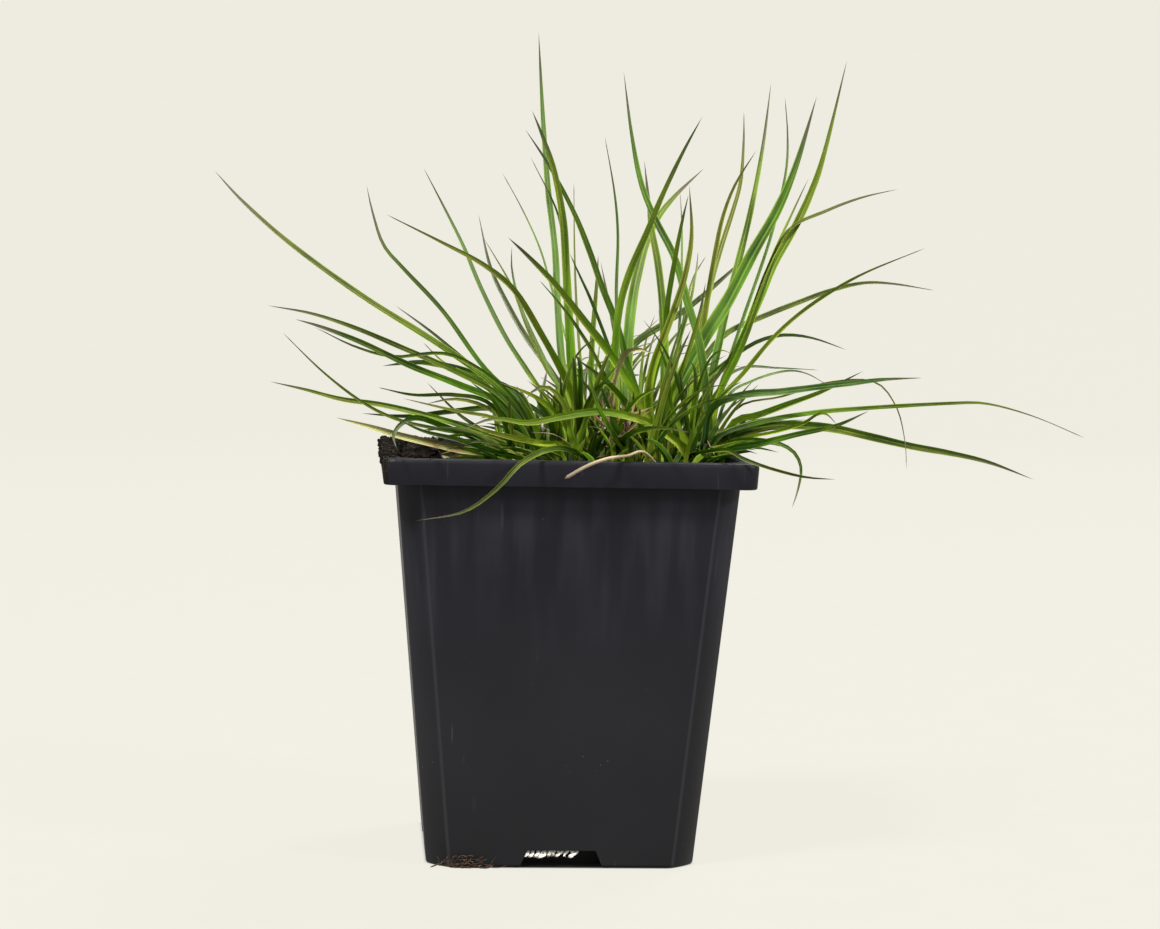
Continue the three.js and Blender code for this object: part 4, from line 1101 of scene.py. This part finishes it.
def leaf_finish(name, dark_stops, light_stops, foot, tip, edge, glow, share):
    """A blade's finish: its tint, painted shade at the foot of dark leaves and low in the tuft, a painted
    sheen high up, a bright foot on light leaves, a pale midrib, painted highlights on its edges, a dull tip,
    ribs, and light through it.
    """
    material, shade, surface = finish_of(name)
    blade = shade.add("UVMap", {"uv_map": "blade"})
    tint = shade.add("UVMap", {"uv_map": "tint"})
    height = shade.place().part("z")
    u = blade.part("x")
    v = blade.part("y")
    light = tint.part("x")
    hue = tint.part("y")
    across = 1 - (u * 4 - 2).abs()
    off_rib = across.abs()
    ribs = (across * (5 * math.pi)).sine()
    patches = shade.noise(150.0, 3.0, (1, 1, 0.6))
    streaks = shade.noise(1.0, 2.0, (16.0, 6.0, 1.0), 0.0, blade)
    lightness = light + 0.9 * (patches - 0.5) + 1.3 * (streaks - 0.5)
    # Painted shade: the foot of a blade is darker unless the leaf is light.
    lightness = lightness - 0.25 * v.ramp(0.4, 0.15) * light.ramp(0.85, 0.4)
    # Blades darken towards their tips, and low in the tuft near the soil they are darker still, a painted
    # shade.
    low = height.ramp(0.113, 0.1) * v.ramp(0.45, 0.25)
    lightness = lightness - 0.18 * v.ramp(0.4, 0.7) - 0.24 * low
    hue = hue + 0.26 * (v.ramp(0.75, 0.1) - 0.45) * hue.ramp(0.15, 0.3) * hue.ramp(0.65, 0.5)
    colour = hue.colour(dark_stops).under(hue.colour(light_stops), lightness)
    # A painted sheen: blades high up are mixed a little with a pale grey-green, as if glossy in the light.
    colour = colour.under("#8a8e70", 0.07 * height.ramp(0.115, 0.14))
    bright_foot = height.ramp(0.128, 0.108) * v.ramp(0.5, 0.3) * light.ramp(0.5, 0.85)
    colour = colour.under(foot, 0.75 * bright_foot * patches.ramp(0.3, 0.45))
    # A pale midrib, and a painted highlight along the blade's edges, both stronger on lighter leaves.
    midrib_and_edge_highlight = off_rib.ramp(0.14, 0.02) * 0.16 + off_rib.ramp(0.72, 1.0) * 0.4
    colour = colour.under(edge, midrib_and_edge_highlight * (0.35 + light.ramp(0.0, 0.6)))
    colour = colour.under("#16260a", ribs.ramp(0.1, 1.0) * 0.12 + u.ramp(0.49, 0.51) * 0.15)
    colour = colour.under(tip, (v + 0.3 * (patches - 0.5)).ramp(0.78, 0.95) * 0.9)
    face = shade.add("BsdfPrincipled", None, {
        "Base Color": colour,
        "Roughness": 0.46 + 0.12 * patches,
        "Specular IOR Level": 0.21,
        "Normal": ribs.bump(0.00003, 0.5),
    })
    through = shade.add("BsdfTranslucent", None, {"Color": glow})
    skin_mix = shade.add("MixShader", None, {0: share, 1: face, 2: through})
    material.node_tree.links.new(skin_mix.socket, surface)
    return material


# The blades that the survey shows slimmer or broader than their solids, and those that narrow to their
# tip by another share than usual, by the number of the tiller and of the leaf on it.
BREADTHS = {
    (1, 0): 0.85, (2, 1): 0.7, (4, 0): 1.25, (6, 0): 1.2, (8, 0): 0.92, (9, 1): 0.85, (12, 0): 1.15,
    (13, 0): 0.8, (14, 0): 0.72, (15, 0): 1.1, (16, 1): 1.1, (17, 0): 1.3, (17, 1): 1.3, (18, 0): 1.2,
    (20, 0): 1.1, (21, 0): 0.45, (22, 0): 1.25, (23, 0): 1.3, (24, 0): 1.35, (24, 2): 0.85, (25, 1): 1.0,
    (26, 1): 1.3, (27, 0): 0.85, (27, 1): 0.85, (27, 2): 0.75, (28, 1): 0.75,
}
NARROWINGS = {(21, 0): -1.6, (25, 1): 0.75}
YOUNG_NARROWING = 0.62
leaf_green = leaf_finish(
    "leaf_green",
    [(0.0, "#20130b"), (0.3, "#1d2605"), (0.55, "#0d2a03"), (0.85, "#122e19")],
    [(0.0, "#70553a"), (0.3, "#79831f"), (0.55, "#669b10"), (0.85, "#738b5c")],
    "#b4c838", "#514540", "#b7cc45", (0.2, 0.42, 0.01, 1.0), 0.28,
)
for number, tiller in enumerate(tillers, 1):
    bm = bmesh.new()
    skin(bm, stalk_rings(tiller), (0.7, 0.45))
    for order, leaf in enumerate(tiller.leaves):
        lightness, hue = leaf.tone or TONES_AND_PAINTED_LIGHT[hand.choice(["dark", "dark", "dull", "olive", "fresh"])]
        tint = (lightness + hand.uniform(-0.06, 0.06), hue + hand.uniform(-0.05, 0.05))
        breadth = BREADTHS.get((number, order), USUAL_BREADTH)
        usual = USUAL_NARROWING if leaf.tone else YOUNG_NARROWING
        narrowing = NARROWINGS.get((number, order), usual)
        skin(bm, blade_rings(leaf, order, len(tiller.leaves), breadth, narrowing), tint)
    close(bm)
    grass = piece("grass_" + tiller.name, bm, leaf_green)
    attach(grass, "root")
    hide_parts(tiller.name)

# Dry leaves: dead tan blades on stalks of their own, one out over the left of the rim, a bent one in
# the middle of the tuft and one on the soil, and a dry stem that lies over the front of the rim.
leaf_dry = leaf_finish(
    "leaf_dry",
    [(0.0, "#3a2112"), (0.5, "#54402a"), (1.0, "#4e4b28")],
    [(0.0, "#94622f"), (0.5, "#cbb59b"), (1.0, "#b0b070")],
    "#8a6a40", "#6f6156", "#c4bd90", (0.22, 0.17, 0.07, 1.0), 0.2,
)
DRY_BREADTH = 1.166
for tiller in dry:
    bm = bmesh.new()
    skin(bm, stalk_rings(tiller), (0.3, 0.2))
    for leaf in tiller.leaves:
        skin(bm, blade_rings(leaf, breadth=DRY_BREADTH), leaf.tone, 0.8)
    close(bm)
    grass = piece(tiller.name.replace("leaf", "blade"), bm, leaf_dry)
    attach(grass, "root")
    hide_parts(tiller.name)

bm = bmesh.new()
skin(bm, tube_rings(straw, lambda s: 0.2 + 0.24 * s ** 0.7, 1.0), (0.66, 0.6))
close(bm)
stem = piece("dry_stem", bm, leaf_dry)
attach(stem, "root")
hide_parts("dry_straw")

# Basal leaves: the short outer leaves of the tuft, young and half dead, which fan out low over the
# soil and the rim and hide the feet of the tillers. Most lie to the left and to the right.
BASAL_FANS = [
    (34, (-6, -6), (9, 15), math.pi, 0.45, (12, 28), (0.1, 0.9), "dark dark dull black dull olive"),
    (12, (-10, -25), (8, 5), math.pi, 0.16, (10, 22), (0.1, 0.5), "pale dark dull brown dull"),
    (40, (36, -8), (8, 15), -0.1, 0.6, (12, 30), (0.1, 0.9), "dark black dark green olive fresh black"),
    (16, (15, -24), (16, 4), -math.pi / 2, 2.2, (7, 14), (1.0, 1.5), "lime lime bright vivid lime"),
    (28, (12, 18), (24, 8), math.pi / 2, 0.9, (16, 38), (0.1, 0.9), "dark dark green dull fresh"),
    (28, (12, 6), (22, 14), math.pi / 2, 1.6, (12, 26), (1.0, 1.5), "dark black dark black fresh"),
    (12, (7, -18), (4, 4), -math.pi / 2, 1.5, (8, 14), (1.0, 1.5), "dark dull dark black fresh"),
    (14, (32, -24), (7, 8), 0.05, 0.6, (10, 18), (0.2, 0.9), "dark olive dull green brown bright"),
    (12, (-2, 14), (3, 8), math.pi / 2, 1.6, (9, 16), (1.2, 1.5), "black dark dull black"),
    (12, (11, 14), (3, 8), math.pi / 2, 1.6, (9, 16), (1.2, 1.5), "black dark dull black"),
    (16, (8, 2), (12, 7), -math.pi / 2, 1.6, (9, 16), (1.2, 1.5), "dark black olive dull"),
]
bm = bmesh.new()
for count, middle, spread, direction, fan, lengths, slopes, tones in BASAL_FANS:
    while count:
        foot = [c + hand.uniform(-r, r) for c, r in zip(middle, spread)]
        way = direction + hand.gauss(0, fan)
        step = hand.uniform(*lengths) / KNOTS
        rise = hand.uniform(*slopes)
        fall = hand.uniform(-0.4, 0.15) + 0.9 * max(0, slopes[0] - 0.1)
        bend = hand.uniform(-0.5, 0.5)
        ground = soil_top(*foot)
        knots = [np.array((*foot, ground - 2)), np.array((*foot, ground + hand.uniform(2, 6)))]
        arch(knots, step, rise, fall, way, bend)
        leaf = SimpleNamespace(line=np.array(knots), face=inward(way))
        leaf.width = hand.uniform(1.1, 2.1)
        leaf.turn = hand.uniform(-0.9, 0.9)
        probes = probe(leaf.line, 8, lambda s: 0.3 + 0 * s)
        if clears_pot(probes[5:]) and probes[:, 2].max() < 110 + 7 * slopes[0]:
            lightness, hue = TONES_AND_PAINTED_LIGHT[hand.choice(tones.split())]
            tint = (lightness + hand.uniform(-0.1, 0.1), hue + hand.uniform(-0.06, 0.06))
            skin(bm, blade_rings(leaf), tint, 0.74)
            count -= 1
close(bm)
basal = piece("basal_leaves", bm, leaf_green)
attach(basal, "root")

# Litter: the brown papery remains of old sheaths, loose round the feet of the tillers and caught in a
# tiller at the front, and thin pale threads of dead leaves and roots.
OLD_SHEATHS = 90
FRONT_SHEATHS = 26
FRONT_LIFT = 11
THREADS = 40
front_tiller = tillers[28]
bm = bmesh.new()
for number in range(OLD_SHEATHS + THREADS):
    thread = number >= OLD_SHEATHS
    front = number < FRONT_SHEATHS
    tiller = front_tiller if front else hand.choice(tillers)
    x, y = tiller.spot[0] + hand.uniform(-2.5, 2.5), tiller.spot[1] + hand.uniform(-2.5, 2.5)
    way = hand.uniform(0, math.tau)
    step = (hand.uniform(10, 26) if thread else hand.uniform(4, 14)) / 3
    slope = hand.uniform(0.2, 1.5)
    knots = [np.array((x, y, soil_top(x, y) + hand.uniform(-1, 3) + FRONT_LIFT * front))]
    for i in range(3):
        climb(knots, step, slope, way)
        slope -= hand.uniform(0.1, 0.8) if thread else hand.uniform(-0.2, 0.4)
        way += hand.uniform(-0.6, 0.6)
    line = np.array(knots)
    if not clears_pot(probe(line, 4, lambda s: 0.2 + 0 * s)[1:]):
        continue
    if thread:
        tint = (hand.uniform(0.5, 1), hand.uniform(0.4, 0.8))
        skin(bm, tube_rings(line, lambda s: 0.13 - 0.06 * s, 1.2, 6), tint)
    else:
        tint = (hand.uniform(0, 0.65) + 0.1 * front, hand.uniform(0, 0.28))
        leaf = SimpleNamespace(line=line, face=np.array((math.cos(way), math.sin(way), 0.3)))
        leaf.width = hand.uniform(0.5, 1.5)
        leaf.turn = hand.uniform(-2, 2)
        skin(bm, blade_rings(leaf), tint, 0.75)
close(bm)
litter = piece("old_sheaths", bm, leaf_dry)
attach(litter, "root")

# Roots that came out of the drain holes: a brown tangle against the foot of the front wall, and pale
# ones that hang in the front notch.
root_skin = leaf_finish(
    "root_skin",
    [(0.0, "#1c0f08"), (1.0, "#d0ccc4")],
    [(0.0, "#80583c"), (1.0, "#fbfaf6")],
    "#f4f2ec", "#5c4030", "#8a6a50", (0.4, 0.3, 0.2, 1.0), 0.05,
)
FOOT_ROOTS = 40
NOTCH_ROOTS = 12
bm = bmesh.new()
for number in range(FOOT_ROOTS):
    knots = [(hand.gauss(-26, 2.6), hand.uniform(-34.4, -33.2), hand.uniform(0.3, 1.2))]
    way = hand.uniform(-0.5, 0.9)
    for i in range(4):
        x, y, z = knots[-1]
        step = hand.uniform(0.8, 2.6)
        z = min(max(z + 0.6 * step * math.sin(way), 0.3), 3.2)
        knots.append((x + step * math.cos(way), hand.uniform(-34.6, -33.3), z))
        way += hand.uniform(-1.1, 0.9)
    thick = hand.uniform(0.08, 0.2)
    rings = tube_rings(np.array(knots), lambda s: thick * (1 - 0.5 * s), 0.7, 6)
    skin(bm, rings, (hand.uniform(0, 0.18), 0.0))
for number in range(NOTCH_ROOTS):
    x = -8.2 + 11.5 * number / (NOTCH_ROOTS - 1) + hand.uniform(-0.4, 0.4)
    knots = [(x, -28.5, 4.5), (x + 0.3, -31.0, 4.0)]
    knots.append((x - hand.uniform(-0.5, 0.8), -32.2, hand.uniform(3.1, 3.6)))
    knots.append((x - hand.uniform(0.2, 1.8), -32.5, hand.uniform(2.4, 3.0)))
    thick = hand.uniform(0.48, 0.74)
    rings = tube_rings(np.array(knots), lambda s: thick * (1 - 0.4 * s), 0.6, 8)
    skin(bm, rings, (hand.uniform(0.8, 1), 1.0))
close(bm)
roots = piece("drain_roots", bm, root_skin)
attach(roots, "root")
